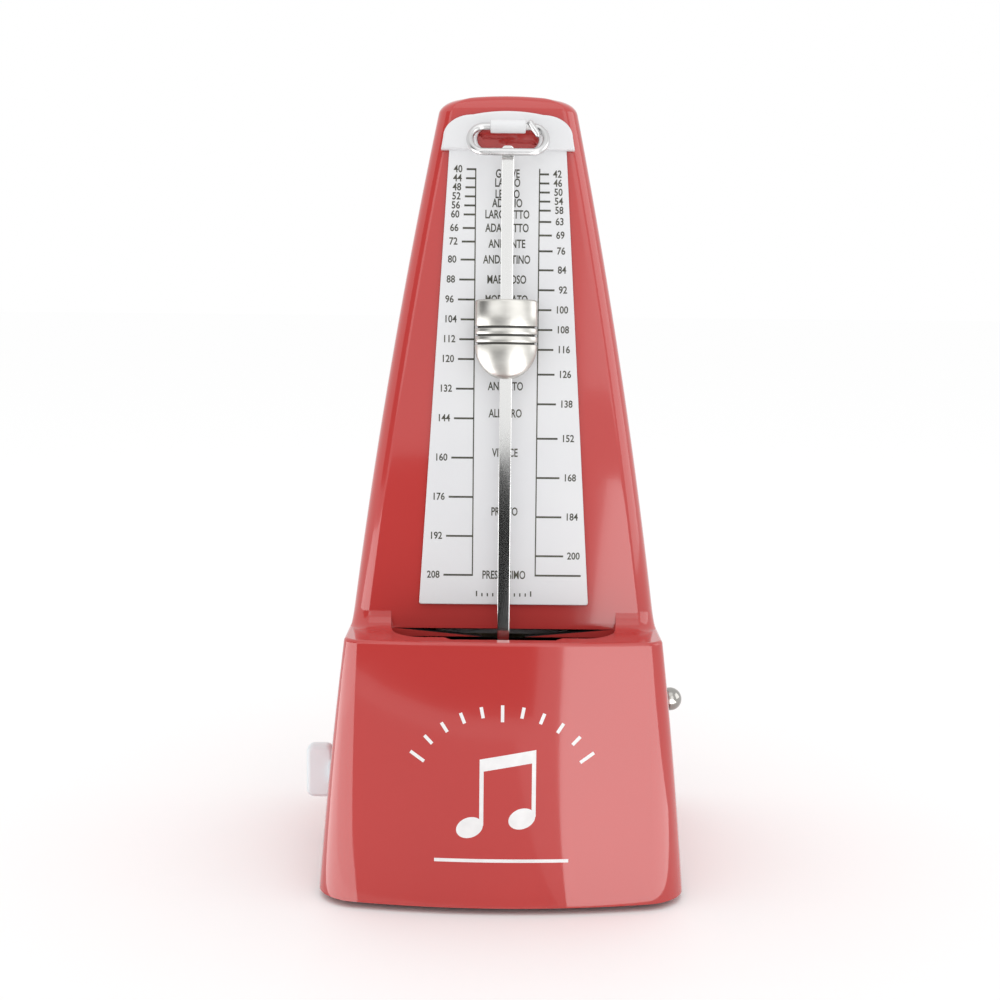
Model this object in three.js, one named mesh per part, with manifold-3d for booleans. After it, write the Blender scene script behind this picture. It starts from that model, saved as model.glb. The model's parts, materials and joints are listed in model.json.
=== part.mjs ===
// A wind-up pyramid metronome. Millimetres, +Z up, the front faces -Y, origin at the middle of the footprint.
import * as THREE from "three";
import { mergeVertices } from "three/addons/utils/BufferGeometryUtils.js";
import Module from "manifold-3d";

const wasm = await Module();
wasm.setup();

// ---------------------------------------------------------------- driving dimensions
// Fits
const GAP = 0.3; // between two pieces that touch
const RUNNING = 0.15; // radial play of a shaft in its hole

// Case
const HEIGHT = 219.4;
const FOOT_HEIGHT = 2;
const WALL = 2.5;
const BASE_HALF_WIDTH = 50.4;
const TOP_HALF_WIDTH = 18.5;
const BASE_FRONT = 52; // from the middle to the front at the base
const TOP_FRONT = 24.6; // where the line of the lower front would end at the top
const BASE_BACK = 51;
const TOP_BACK = 18.5;
const SWELL = 3.46; // how far the sides bulge from straight at half height
const LEDGE = 73.5; // height of the ledge where the upper body steps back
const SEAT_STEP = 0.35; // the upper body is this much narrower, each side
const FRONT_BOW_BASE = 6;
const FRONT_BOW_LEDGE = 2.2;
const CORNER_BASE = 10;
const CORNER_LEDGE = 4.5;
const UPPER_CORNER = 5;
const TOP_CORNER = 3.5;
const CROWN = 4; // height of the rounded top edge
const CROWN_INSET = 6; // how far that edge draws in
const CROWN_RISE = 0.8; // dome of the top face
const COVE = 5; // radius of the hollow between the dial and the ledge

// Dial, and the frame that everything on it shares
const DIAL_FRONT = 27.5; // from the middle to the dial plane at the ledge
const TILT = THREE.MathUtils.degToRad(4); // the dial leans back
const DIAL_SHEET = 0.8;
const DIAL_HEAD = 2; // thickness of the arched head
const DIAL_BOTTOM = 6.7; // above the ledge, along the dial
const DIAL_BOTTOM_HALF = 23.4;
const DIAL_NECK_HALF = 15.9;
const HEAD_BOTTOM = 131;
const HEAD_TOP = 141.5;
const HEAD_HALF = 18.2;
const HEAD_ROUND_WIDE = 8;
const HEAD_ROUND_TALL = 6;
const HEAD_ARCH = 1; // rise of its top edge in the middle
const WINDOW_HALF = 8.4;
const WINDOW_BOTTOM = 131.2;
const WINDOW_TOP = 137;

// Clip
const CLIP_WIRE = 0.95;
const CLIP_HALF = 10.4;
const CLIP_HINGE_UP = 136.7;
const CLIP_HINGE_OUT = 5;
const CLIP_DROP = 7.6; // from the hinge down to the lower bar
const CLIP_REACH = 5.6; // how much further out the lower bar lies
const CLIP_BARREL = 1.75;
const CLIP_BARREL_LONG = 9.5;

// Slot in the ledge
const SLOT_HALF = 30.8;
const SLOT_STRAIGHT = 22;
const SLOT_DEEP = 11.6;
const SLOT_CUT_TALL = 20; // the cut reaches as far above the ledge as below it
const NOTCH_HALF = 15.6;
const NOTCH_DEEP = 14.5;
const SLOT_UNDERCUT = 3; // how far the slot is hollowed back under the upper body
const SLOT_UNDERCUT_DEEP = 6;

// Pendulum, in the dial's frame
const ROD_OUT = 6.4; // rod plane in front of the dial plane
const ROD_WIDE = 3.3;
const ROD_THICK = 1;
const ROD_TIP = 132.5;
const PIVOT_UP = -29.6;
const PENDULUM_ARBOR = 1.2;
const PENDULUM_ARBOR_BACK = 24.2;
const ROD_HUB = 4.5;
const BOB_WIDE = 26;
const BOB_TALL = 17;
const BOB_NEAR = 18; // from the pivot to the bob's top
const BOB_FRONT = 13.2;
const BOB_BACK = 0.6;
const WEIGHT_HALF = 8.5;
const WEIGHT_TALL = 21.5;
const WEIGHT_THICK = 8.6;
const WEIGHT_DOME = 9.2; // height of its rounded lower end
const WEIGHT_GROOVES = [7.4, 9.6, 11.8]; // below its top edge
const WEIGHT_TOP_UP = 90.3; // top edge, at the 96 mark
const PALLET_REACH = 4.85;

// Movement, arbors run left to right
const PLATE_IN = 20;
const PLATE_THICK = 1.6;
const PLATE_FLANGE = 6.7; // how far its foot turns outwards
const PLATE_FRONT = -27.5;
const PLATE_BACK = 12.5;
const PLATE_TOP = 68;
const BARREL = { y: -9.9, z: 26.6 };
const ESCAPE = { y: -13, z: 56 };
const SELECTOR = { y: 8, z: 44 };
const GREAT_MODULE = 0.6;
const GREAT_TEETH = 50;
const GREAT_PINION = 12;
const SECOND_MODULE = 0.5;
const SECOND_TEETH = 48;
const SECOND_PINION = 10;
const TOOTH_FILL = 0.76; // share of half the pitch that a tooth takes
const BARREL_RADIUS = 12.5;
const BARREL_LEFT = -17;
const BARREL_RIGHT = -5.6;
const BARREL_WALL = 0.9;
const WINDING_ARBOR = 2;
const TRAIN_ARBOR = 1;
const ESCAPE_RADIUS = 8;
const ESCAPE_TEETH = 15;
const RATCHET_RADIUS = 9;
const RATCHET_TEETH = 16;
const PILLAR = 2;
const PILLAR_ROWS = [10, 64]; // heights
const PILLAR_COLUMNS = [-23, 9.5];

// Winding key
const KEY_OUT = -57.2;
const KEY_TALL = 15.7;
const KEY_THICK = 4.6;
const KEY_HUB = 4.4;
const KEY_HOLE_PLAY = 0.6; // round the hub
const KNOB_HOLE_PLAY = 0.7; // round the selector rod

// Beat selector, hammer and bell
const SELECTOR_RADIUS = 1.5;
const KNOB_RADIUS = 3.5;
const KNOB_OUT = 54.6;
const KNOB_LONG = 6.6;
const CAM_RADIUS = 6;
const CAM_STEP = 2.2;
const HAMMER_X = 10.5;
const HAMMER_DROP = 14;
const BELL_RADIUS = 12;
const BELL_WALL = 1.1;
const BELL_RIM = 26;
const BELL_TOP = 37;

// Base, feet, fasteners and rear cover
const BASE_BOTTOM = 3;
const BASE_THICK = 2;
const FOOT_RADIUS = 5;
const FOOT_IN = 15.4; // feet, in from the case's sides and front
const SCREW = 1.2;
const SCREW_HEAD = 2.6;
const BOSS_IN = 9.4; // base screws, in from the case's sides
const BOSS_Y = 18;
const BOSS_TOP = 18;
const COVER_HALF = 24;
const COVER_BOTTOM = 16;
const COVER_TOP = 62;
const COVER_LIP = 4;

// Places that follow the case
const FOOT_X = BASE_HALF_WIDTH - FOOT_IN;
const FOOT_Y = BASE_FRONT - FOOT_IN;
const BOSS_X = BASE_HALF_WIDTH - BOSS_IN;

// ---------------------------------------------------------------- finishes
function finish(color, roughness, metalness = 0) {
  return () => new THREE.MeshStandardMaterial({ color, roughness, metalness });
}
const redPlastic = finish(0xc4413f, 0.18);
const whitePlastic = finish(0xe9eaec, 0.4);
const blackPlastic = finish(0x222224, 0.6);
const rubber = finish(0x1d1d1f, 0.9);
const steel = finish(0xb9bcc0, 0.3, 1);
const nickel = finish(0xc9c6c0, 0.35, 1);
const brass = finish(0xc8a24a, 0.35, 1);

// ---------------------------------------------------------------- small shape helpers
const X = new THREE.Vector3(1, 0, 0);
const Y = new THREE.Vector3(0, 1, 0);
const Z = new THREE.Vector3(0, 0, 1);
const EXTRUDE_TO_X = new THREE.Matrix4().makeBasis(Y, Z, X); // outline in YZ, depth along X
const EXTRUDE_TO_Y = new THREE.Matrix4().makeBasis(X.clone().negate(), Z, Y); // outline in XZ, from behind
const LATHE_TO_X = new THREE.Matrix4().makeBasis(Z, X, Y);
const LATHE_TO_Z = new THREE.Matrix4().makeBasis(Y, Z, X);

function solid(geometry) {
  const bare = geometry.clone();
  bare.deleteAttribute("normal");
  bare.deleteAttribute("uv");
  const merged = mergeVertices(bare, 1e-4);
  const triVerts = new Uint32Array(merged.index.array);
  return new wasm.Manifold(
    new wasm.Mesh({ numProp: 3, vertProperties: merged.attributes.position.array, triVerts }),
  );
}

function geometryOf(manifold) {
  const { numProp, vertProperties, triVerts } = manifold.getMesh();
  const geometry = new THREE.BufferGeometry();
  geometry.setAttribute("position", new THREE.BufferAttribute(new Float32Array(vertProperties), numProp));
  geometry.setIndex(new THREE.BufferAttribute(triVerts, 1));
  geometry.computeVertexNormals();
  return geometry;
}

function join(...geometries) {
  return geometryOf(geometries.map(solid).reduce((whole, piece) => whole.add(piece)));
}

function cut(geometry, ...tools) {
  return geometryOf(tools.map(solid).reduce((whole, tool) => whole.subtract(tool), solid(geometry)));
}

function common(geometry, other) {
  return geometryOf(solid(geometry).intersect(solid(other)));
}

function box(x0, x1, y0, y1, z0, z1) {
  const geometry = new THREE.BoxGeometry(x1 - x0, y1 - y0, z1 - z0);
  return geometry.translate((x0 + x1) / 2, (y0 + y1) / 2, (z0 + z1) / 2);
}

function area(points) {
  return THREE.ShapeUtils.area(points.map(([x, y]) => new THREE.Vector2(x, y)));
}

// Turns a closed profile of [radius, height] points around the height axis.
function lathe(profile, segments) {
  const points = area(profile) > 0 ? profile : [...profile].reverse();
  const closed = [...points, points[0]].map(([r, h]) => new THREE.Vector2(r, h));
  return new THREE.LatheGeometry(closed, segments);
}

function rodX(radius, x0, x1, segments = 14) {
  return lathe([[0, x0], [radius, x0], [radius, x1], [0, x1]], segments).applyMatrix4(LATHE_TO_X);
}

function rodY(radius, y0, y1, segments = 14) {
  return lathe([[0, y0], [radius, y0], [radius, y1], [0, y1]], segments);
}

function rodZ(radius, z0, z1, segments = 14) {
  return lathe([[0, z0], [radius, z0], [radius, z1], [0, z1]], segments).applyMatrix4(LATHE_TO_Z);
}

function ringX(outer, inner, x0, x1, segments = 32) {
  return lathe([[inner, x0], [outer, x0], [outer, x1], [inner, x1]], segments).applyMatrix4(LATHE_TO_X);
}

function shapeOf(points) {
  return new THREE.Shape(points.map(([x, y]) => new THREE.Vector2(x, y)));
}

function extrude(shape, depth, curveSegments = 8) {
  return new THREE.ExtrudeGeometry(shape, { depth, bevelEnabled: false, curveSegments });
}

function extrudeX(shape, x0, x1, curveSegments) {
  return extrude(shape, x1 - x0, curveSegments).applyMatrix4(EXTRUDE_TO_X).translate(x0, 0, 0);
}

// The outline is drawn in X and Z, and the depth runs back from y0 to y1.
function extrudeY(shape, y0, y1, curveSegments) {
  const mirrored = new THREE.Shape(shape.getPoints(curveSegments).map((p) => new THREE.Vector2(-p.x, p.y)));
  for (const hole of shape.holes) {
    const points = hole.getPoints(curveSegments).map((p) => new THREE.Vector2(-p.x, p.y));
    mirrored.holes.push(new THREE.Path(points));
  }
  return extrude(mirrored, y1 - y0).applyMatrix4(EXTRUDE_TO_Y).translate(0, y0, 0);
}

function roundedRect(x0, x1, y0, y1, r) {
  const shape = new THREE.Shape();
  shape.moveTo(x0 + r, y0);
  shape.lineTo(x1 - r, y0);
  shape.absarc(x1 - r, y0 + r, r, -Math.PI / 2, 0);
  shape.lineTo(x1, y1 - r);
  shape.absarc(x1 - r, y1 - r, r, 0, Math.PI / 2);
  shape.lineTo(x0 + r, y1);
  shape.absarc(x0 + r, y1 - r, r, Math.PI / 2, Math.PI);
  shape.lineTo(x0, y0 + r);
  shape.absarc(x0 + r, y0 + r, r, Math.PI, Math.PI * 1.5);
  return shape;
}

const metronome = new THREE.Group();
metronome.name = "metronome";

function add(parent, name, geometry, material) {
  const mesh = new THREE.Mesh(geometry, material());
  mesh.name = name;
  parent.add(mesh);
  return mesh;
}

// ---------------------------------------------------------------- case outline
const FRONT_STEPS = 4;
const CORNER_STEPS = 4;
const SIDE_STEPS = 2;

function share(z) {
  return (z - FOOT_HEIGHT) / (HEIGHT - FOOT_HEIGHT);
}

function taper(base, top, z) {
  const t = share(z);
  return base + (top - base) * t + SWELL * 4 * t * (1 - t);
}

function dialFront(z) {
  return -DIAL_FRONT + Math.tan(TILT) * (z - LEDGE);
}

// Half of a rounded rectangle from its front middle to its back middle, mirrored to a full outline.
function outline({ half, front, back, corner, bow }) {
  const right = [];
  const arc = (cx, cy, from) => {
    for (let i = 0; i <= CORNER_STEPS; i++) {
      const a = from + (i / CORNER_STEPS) * (Math.PI / 2);
      right.push([cx + corner * Math.cos(a), cy + corner * Math.sin(a)]);
    }
  };
  for (let i = 0; i < FRONT_STEPS; i++) right.push([((half - corner) * i) / FRONT_STEPS, front]);
  arc(half - corner, front + corner, -Math.PI / 2);
  for (let i = 1; i < SIDE_STEPS; i++) {
    right.push([half, front + corner + ((back - front - 2 * corner) * i) / SIDE_STEPS]);
  }
  arc(half - corner, back - corner, 0);
  for (let i = 1; i <= FRONT_STEPS; i++) right.push([(half - corner) * (1 - i / FRONT_STEPS), back]);
  const bowed = right.map(([x, y]) => [x, y + bow * (x / half) ** 2 * Math.max(0, y / front)]);
  const left = bowed.slice(1, -1).reverse();
  return [...bowed, ...left.map(([x, y]) => [-x, y])];
}

function lowerSection(z, inset) {
  const t = (z - FOOT_HEIGHT) / (LEDGE - FOOT_HEIGHT);
  return {
    half: taper(BASE_HALF_WIDTH, TOP_HALF_WIDTH, z) - inset,
    front: -taper(BASE_FRONT, TOP_FRONT, z) + inset,
    back: taper(BASE_BACK, TOP_BACK, z) - inset,
    corner: Math.max(1, CORNER_BASE + (CORNER_LEDGE - CORNER_BASE) * t - inset),
    bow: FRONT_BOW_BASE + (FRONT_BOW_LEDGE - FRONT_BOW_BASE) * t,
  };
}

function upperSection(z, inset) {
  const t = (z - LEDGE) / (HEIGHT - LEDGE);
  const crown = Math.max(0, z - (HEIGHT - CROWN_RISE - CROWN)) / CROWN;
  const drawn = 1 - Math.sqrt(Math.max(0, 1 - crown ** 2));
  return {
    half: taper(BASE_HALF_WIDTH, TOP_HALF_WIDTH, z) - SEAT_STEP - inset - CROWN_INSET * drawn,
    front: dialFront(z) + inset + CROWN * drawn * 0.75,
    back: taper(BASE_BACK, TOP_BACK, z) - SEAT_STEP - inset - CROWN_INSET * drawn,
    corner: Math.max(1, UPPER_CORNER + (TOP_CORNER - UPPER_CORNER) * t - inset),
    bow: 0,
  };
}

// A closed body through one outline per height: a cylinder's rows are moved onto the outlines.
function tower(section, heights, inset, rise = 0) {
  const rows = heights.map((z) => outline(section(z, inset)));
  const count = rows[0].length;
  const last = heights.length - 1;
  const geometry = new THREE.CylinderGeometry(1, 1, 1, count, last);
  const position = geometry.attributes.position;
  for (let i = 0; i < position.count; i++) {
    const [x, up, z] = [position.getX(i), position.getY(i), position.getZ(i)];
    const row = Math.round((up + 0.5) * last);
    const place = Math.round((Math.atan2(x, z) / (2 * Math.PI)) * count + count) % count;
    const middle = Math.hypot(x, z) < 0.5;
    const [px, py] = middle ? [0, (rows[row][0][1] + rows[row][count / 2][1]) / 2] : rows[row][place];
    position.setXYZ(i, px, py, heights[row] + (middle && row === last ? rise : 0));
  }
  return geometry;
}

function levels(from, to, count) {
  return Array.from({ length: count + 1 }, (_, i) => from + ((to - from) * i) / count);
}

const SHOULDER = HEIGHT - CROWN_RISE - CROWN;
const crownLevels = [0.35, 0.62, 0.82, 0.94, 1].map((k) => SHOULDER + CROWN * k);

// ---------------------------------------------------------------- case
// The upper outline flares forward to the ledge in a quarter circle.
function coveSection(z, inset) {
  const down = Math.min(COVE, COVE + LEDGE - z);
  const upper = upperSection(z, inset);
  return { ...upper, front: upper.front - (COVE - Math.sqrt(COVE ** 2 - down ** 2)) };
}

function coveBlock() {
  const angles = levels(90, 4, 5).map((a) => THREE.MathUtils.degToRad(a));
  return tower(coveSection, [LEDGE - 1, ...angles.map((a) => LEDGE + COVE * (1 - Math.sin(a)))], 0);
}

function slotTool() {
  const back = dialFront(LEDGE) - GAP;
  const shape = new THREE.Shape();
  shape.moveTo(-SLOT_HALF, back);
  shape.absellipse(-SLOT_STRAIGHT, back, SLOT_HALF - SLOT_STRAIGHT, SLOT_DEEP, Math.PI, Math.PI * 1.5);
  shape.lineTo(-NOTCH_HALF, back - SLOT_DEEP);
  shape.lineTo(-NOTCH_HALF + 1, back - NOTCH_DEEP);
  shape.lineTo(NOTCH_HALF - 1, back - NOTCH_DEEP);
  shape.lineTo(NOTCH_HALF, back - SLOT_DEEP);
  shape.absellipse(SLOT_STRAIGHT, back, SLOT_HALF - SLOT_STRAIGHT, SLOT_DEEP, -Math.PI / 2, 0);
  const opening = extrude(shape, SLOT_CUT_TALL, 6).translate(0, 0, LEDGE - SLOT_CUT_TALL / 2);
  const floor = LEDGE - SLOT_UNDERCUT_DEEP;
  const undercut = box(-SLOT_HALF, SLOT_HALF, back - GAP, back + SLOT_UNDERCUT, floor, LEDGE - GAP / 2);
  return join(opening, undercut);
}

function coverPrism(grow, y1) {
  const shape = roundedRect(-COVER_HALF - grow, COVER_HALF + grow, COVER_BOTTOM - grow, COVER_TOP + grow, 3);
  return extrudeY(shape, 5, y1, 3);
}

const lowerLevels = levels(FOOT_HEIGHT, LEDGE, 6);
const upperLevels = [...levels(LEDGE - 5, SHOULDER, 9), ...crownLevels];

function caseBody() {
  return join(
    tower(lowerSection, lowerLevels, 0),
    tower(upperSection, upperLevels, 0, CROWN_RISE),
    coveBlock(),
  );
}

function caseHollow(inset) {
  return join(
    tower(lowerSection, levels(FOOT_HEIGHT - 1, LEDGE - inset, 6), inset),
    tower(upperSection, levels(LEDGE - 6, SHOULDER, 9), inset),
  );
}

// The frame behind the rear opening that the cover is screwed to.
function coverFrame() {
  const outer = common(
    cut(tower(lowerSection, lowerLevels, WALL - 0.1), tower(lowerSection, lowerLevels, WALL + 2.5)),
    cut(coverPrism(COVER_LIP, 80), coverPrism(GAP, 81)),
  );
  const inner = common(
    cut(tower(lowerSection, lowerLevels, WALL + GAP), tower(lowerSection, lowerLevels, WALL + 2.5)),
    cut(coverPrism(1, 80), coverPrism(-COVER_LIP, 81)),
  );
  return join(outer, inner);
}

function coverScrewPlaces() {
  const places = [];
  for (const side of [-1, 1]) {
    for (const z of [COVER_BOTTOM + COVER_LIP / 2, COVER_TOP - COVER_LIP / 2]) {
      places.push({ x: side * (COVER_HALF - COVER_LIP / 2), z, back: taper(BASE_BACK, TOP_BACK, z) });
    }
  }
  return places;
}

function bosses() {
  const blocks = [];
  for (const sx of [-1, 1]) {
    for (const sy of [-1, 1]) {
      const [x0, x1] = sx > 0 ? [BOSS_X - 4, BASE_HALF_WIDTH] : [-BASE_HALF_WIDTH, 4 - BOSS_X];
      const y = sy * BOSS_Y;
      blocks.push(box(x0, x1, y - 4, y + 4, BASE_BOTTOM + BASE_THICK + GAP, BOSS_TOP));
    }
  }
  return common(join(...blocks), tower(lowerSection, lowerLevels, WALL / 2));
}

function baseScrewHoles(radius, z0, z1) {
  return [-1, 1].flatMap((sx) =>
    [-1, 1].map((sy) => rodZ(radius, z0, z1, 8).translate(sx * BOSS_X, sy * BOSS_Y, 0)),
  );
}

function housing() {
  const [inside, outside] = [PLATE_IN + 10, BASE_HALF_WIDTH + 5];
  const keyHole = rodX(KEY_HUB + KEY_HOLE_PLAY, -outside, -inside, 24).translate(0, BARREL.y, BARREL.z);
  const knobHole = rodX(SELECTOR_RADIUS + KNOB_HOLE_PLAY, inside, outside).translate(0, SELECTOR.y, SELECTOR.z);
  const shell = cut(caseBody(), caseHollow(WALL), slotTool(), keyHole, knobHole, coverPrism(0, 80));
  const screwHoles = coverScrewPlaces().map(
    ({ x, z, back }) => rodY(SCREW + GAP, 20, back).translate(x, 0, z),
  );
  return cut(
    join(shell, coverFrame(), bosses()),
    ...screwHoles,
    ...baseScrewHoles(SCREW + GAP, 0, BOSS_TOP - 4),
  );
}

function rearCover() {
  const wall = cut(tower(lowerSection, lowerLevels, 0), tower(lowerSection, levels(0, LEDGE + 1, 6), WALL));
  const panel = common(wall, coverPrism(-GAP, 80));
  const slots = levels(28, 50, 5).map((z) => box(-14, 14, 20, 80, z - 1, z + 1));
  const screwHoles = coverScrewPlaces().map(({ x, z }) => rodY(SCREW + GAP, 20, 80).translate(x, 0, z));
  return cut(panel, ...slots, ...screwHoles);
}

function screwZ(length) {
  return join(rodZ(SCREW_HEAD, -1.4, 0, 12), rodZ(SCREW, -0.1, length, 8));
}

function buildCase() {
  const group = new THREE.Group();
  metronome.add(group);
  add(group, "housing", housing(), redPlastic);
  add(group, "rear_cover", rearCover(), redPlastic);
  coverScrewPlaces().forEach(({ x, z, back }, i) => {
    const screw = add(group, `rear_cover_screw_${i + 1}`, screwZ(6), steel);
    screw.rotation.x = Math.PI / 2;
    screw.position.set(x, back + GAP, z);
  });
  const baseLevels = [BASE_BOTTOM, BASE_BOTTOM + BASE_THICK];
  const plate = cut(
    tower(lowerSection, baseLevels, WALL + GAP),
    ...baseScrewHoles(SCREW + GAP, 0, 9),
    ...[-1, 1].flatMap(plateScrewPlaces).map(({ x, y }) => rodZ(SCREW + GAP, 0, 9, 8).translate(x, y, 0)),
  );
  add(group, "base_plate", plate, blackPlastic);
  let number = 1;
  for (const sx of [-1, 1]) {
    for (const sy of [-1, 1]) {
      const foot = add(group, `foot_${number}`, footGeometry(), rubber);
      foot.position.set(sx * FOOT_X, sy * FOOT_Y, 0);
      const screw = add(group, `base_screw_${number}`, screwZ(9), steel);
      screw.position.set(sx * BOSS_X, sy * BOSS_Y, BASE_BOTTOM - GAP);
      number += 1;
    }
  }
}

function footGeometry() {
  const top = BASE_BOTTOM - GAP;
  const profile = [[0, 0], [FOOT_RADIUS - 0.6, 0], [FOOT_RADIUS, 0.6], [FOOT_RADIUS, top], [0, top]];
  return lathe(profile, 24).applyMatrix4(LATHE_TO_Z);
}

// ---------------------------------------------------------------- dial and clip, in the dial's frame
const dialFrame = new THREE.Group();
dialFrame.position.set(0, dialFront(LEDGE), LEDGE);
dialFrame.rotation.x = -TILT;
metronome.add(dialFrame);

function dialHeadShape() {
  const shape = new THREE.Shape();
  const shoulder = HEAD_TOP - HEAD_ARCH - HEAD_ROUND_TALL;
  const centre = HEAD_HALF - 0.6 - HEAD_ROUND_WIDE;
  shape.moveTo(-HEAD_HALF, HEAD_BOTTOM);
  shape.lineTo(HEAD_HALF, HEAD_BOTTOM);
  shape.lineTo(HEAD_HALF - 0.6, shoulder);
  shape.absellipse(centre, shoulder, HEAD_ROUND_WIDE, HEAD_ROUND_TALL, 0, Math.PI / 2);
  shape.quadraticCurveTo(0, HEAD_TOP + HEAD_ARCH, -centre, shoulder + HEAD_ROUND_TALL);
  shape.absellipse(-centre, shoulder, HEAD_ROUND_WIDE, HEAD_ROUND_TALL, Math.PI / 2, Math.PI);
  return shape;
}

function dialPlate() {
  const back = -GAP;
  const sheet = shapeOf([
    [-DIAL_BOTTOM_HALF, DIAL_BOTTOM],
    [DIAL_BOTTOM_HALF, DIAL_BOTTOM],
    [DIAL_NECK_HALF, HEAD_BOTTOM + 1],
    [-DIAL_NECK_HALF, HEAD_BOTTOM + 1],
  ]);
  const windowRadius = (WINDOW_TOP - WINDOW_BOTTOM) / 2 - 0.1;
  const window = roundedRect(-WINDOW_HALF, WINDOW_HALF, WINDOW_BOTTOM, WINDOW_TOP, windowRadius);
  const barrel = rodX(CLIP_BARREL, -CLIP_BARREL_LONG / 2, CLIP_BARREL_LONG / 2);
  const long = CLIP_BARREL_LONG / 2;
  const web = box(-long, long, -CLIP_HINGE_OUT, back - DIAL_HEAD / 2, WINDOW_TOP + 0.3, CLIP_HINGE_UP + 1.5);
  return cut(
    join(
      extrudeY(sheet, back - DIAL_SHEET, back, 1),
      extrudeY(dialHeadShape(), back - DIAL_HEAD, back, 6),
      barrel.translate(0, -CLIP_HINGE_OUT, CLIP_HINGE_UP),
      web,
    ),
    extrudeY(window, -DIAL_HEAD - 1, 1, 4),
    rodX(CLIP_WIRE + RUNNING, -long - 1, long + 1, 16).translate(0, -CLIP_HINGE_OUT, CLIP_HINGE_UP),
  );
}

function clipLoop() {
  const path = new THREE.CurvePath();
  const lean = CLIP_REACH / CLIP_DROP;
  const at = (x, down) => new THREE.Vector3(x, -CLIP_HINGE_OUT - down * lean, CLIP_HINGE_UP - down);
  const round = 3.4;
  const side = (s) => [at(s * (CLIP_HALF - round), 0), at(s * CLIP_HALF, 0), at(s * CLIP_HALF, round)];
  const foot = (s) => [
    at(s * CLIP_HALF, CLIP_DROP - round),
    at(s * CLIP_HALF, CLIP_DROP),
    at(s * (CLIP_HALF - round), CLIP_DROP),
  ];
  const [topRight, topRightPull, rightHigh] = side(1);
  const [rightLow, lowRightPull, lowRight] = foot(1);
  const [leftLow, lowLeftPull, lowLeft] = foot(-1);
  const [topLeft, topLeftPull, leftHigh] = side(-1);
  path.add(new THREE.LineCurve3(topLeft, topRight));
  path.add(new THREE.QuadraticBezierCurve3(topRight, topRightPull, rightHigh));
  path.add(new THREE.LineCurve3(rightHigh, rightLow));
  path.add(new THREE.QuadraticBezierCurve3(rightLow, lowRightPull, lowRight));
  path.add(new THREE.LineCurve3(lowRight, lowLeft));
  path.add(new THREE.QuadraticBezierCurve3(lowLeft, lowLeftPull, leftLow));
  path.add(new THREE.LineCurve3(leftLow, leftHigh));
  path.add(new THREE.QuadraticBezierCurve3(leftHigh, topLeftPull, topLeft));
  const round3 = new THREE.CatmullRomCurve3(path.getSpacedPoints(40).slice(0, -1), true);
  const section = new THREE.Shape();
  section.absarc(0, 0, CLIP_WIRE, 0, Math.PI * 2);
  const settings = { extrudePath: round3, steps: 36, curveSegments: 3, bevelEnabled: false };
  return new THREE.ExtrudeGeometry(section, settings);
}

// ---------------------------------------------------------------- pendulum, in the dial's frame
function pendulumRod() {
  const half = ROD_WIDE / 2;
  const bottom = PIVOT_UP - BOB_NEAR - BOB_TALL + 2;
  const bar = box(-half, half, -ROD_OUT - ROD_THICK / 2, -ROD_OUT + ROD_THICK / 2, bottom, ROD_TIP);
  const hub = rodY(ROD_HUB, -ROD_OUT - ROD_THICK / 2, -ROD_OUT + ROD_THICK / 2, 24).translate(0, 0, PIVOT_UP);
  return cut(join(bar, hub), rodY(PENDULUM_ARBOR + GAP, -20, 20).translate(0, 0, PIVOT_UP));
}

function pendulumArbor() {
  const shaft = rodY(PENDULUM_ARBOR, -ROD_OUT - 1.6, PENDULUM_ARBOR_BACK);
  const collar = rodY(3, -ROD_OUT + ROD_THICK / 2 + GAP, -ROD_OUT + ROD_THICK / 2 + 3);
  return join(shaft, collar).translate(0, 0, PIVOT_UP);
}

function palletFork() {
  const along = 16.6; // behind the dial plane, under the escape wheel
  const hub = rodY(2.6, along - 3, along + 3);
  const blade = (s) =>
    shapeOf([[s * 0.4, 1], [s * 1.6, 1], [s * 1.5, PALLET_REACH - 0.4], [s * 0.5, PALLET_REACH - 0.1]]);
  const blades = [-1, 1].map((s) => extrudeY(blade(s), along - 2 + s, along + 2 + s, 1));
  const bore = rodY(PENDULUM_ARBOR + GAP, 0, 40);
  return cut(join(hub, ...blades), bore).translate(0, 0, PIVOT_UP);
}

function pendulumBob() {
  const top = PIVOT_UP - BOB_NEAR;
  const shape = roundedRect(-BOB_WIDE / 2, BOB_WIDE / 2, top - BOB_TALL, top, 3);
  const half = ROD_WIDE / 2 + GAP;
  const deep = ROD_THICK / 2 + GAP;
  const groove = box(-half, half, -ROD_OUT - deep, -ROD_OUT + deep, top - BOB_TALL + 2 - GAP, top + 1);
  return cut(extrudeY(shape, -BOB_FRONT, BOB_BACK, 4), groove);
}

function slidingWeight() {
  const profile = [[0, 0], [WEIGHT_HALF - 0.8, 0], [WEIGHT_HALF, -0.8]];
  for (const h of WEIGHT_GROOVES) {
    profile.push([WEIGHT_HALF, -h + 0.35], [WEIGHT_HALF - 0.6, -h + 0.25]);
    profile.push([WEIGHT_HALF - 0.6, -h - 0.25], [WEIGHT_HALF, -h - 0.35]);
  }
  const bend = WEIGHT_TALL - WEIGHT_DOME;
  for (const a of levels(0, Math.PI / 2, 6)) {
    profile.push([WEIGHT_HALF * Math.cos(a), -bend - WEIGHT_DOME * Math.sin(a)]);
  }
  const body = lathe(profile, 24).applyMatrix4(LATHE_TO_Z);
  body.scale(1, WEIGHT_THICK / (2 * WEIGHT_HALF), 1);
  const half = ROD_WIDE / 2 + GAP;
  const channel = box(-half, half, -ROD_THICK / 2 - GAP, 2, -WEIGHT_TALL - 1, 1);
  return cut(body, channel);
}

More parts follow.
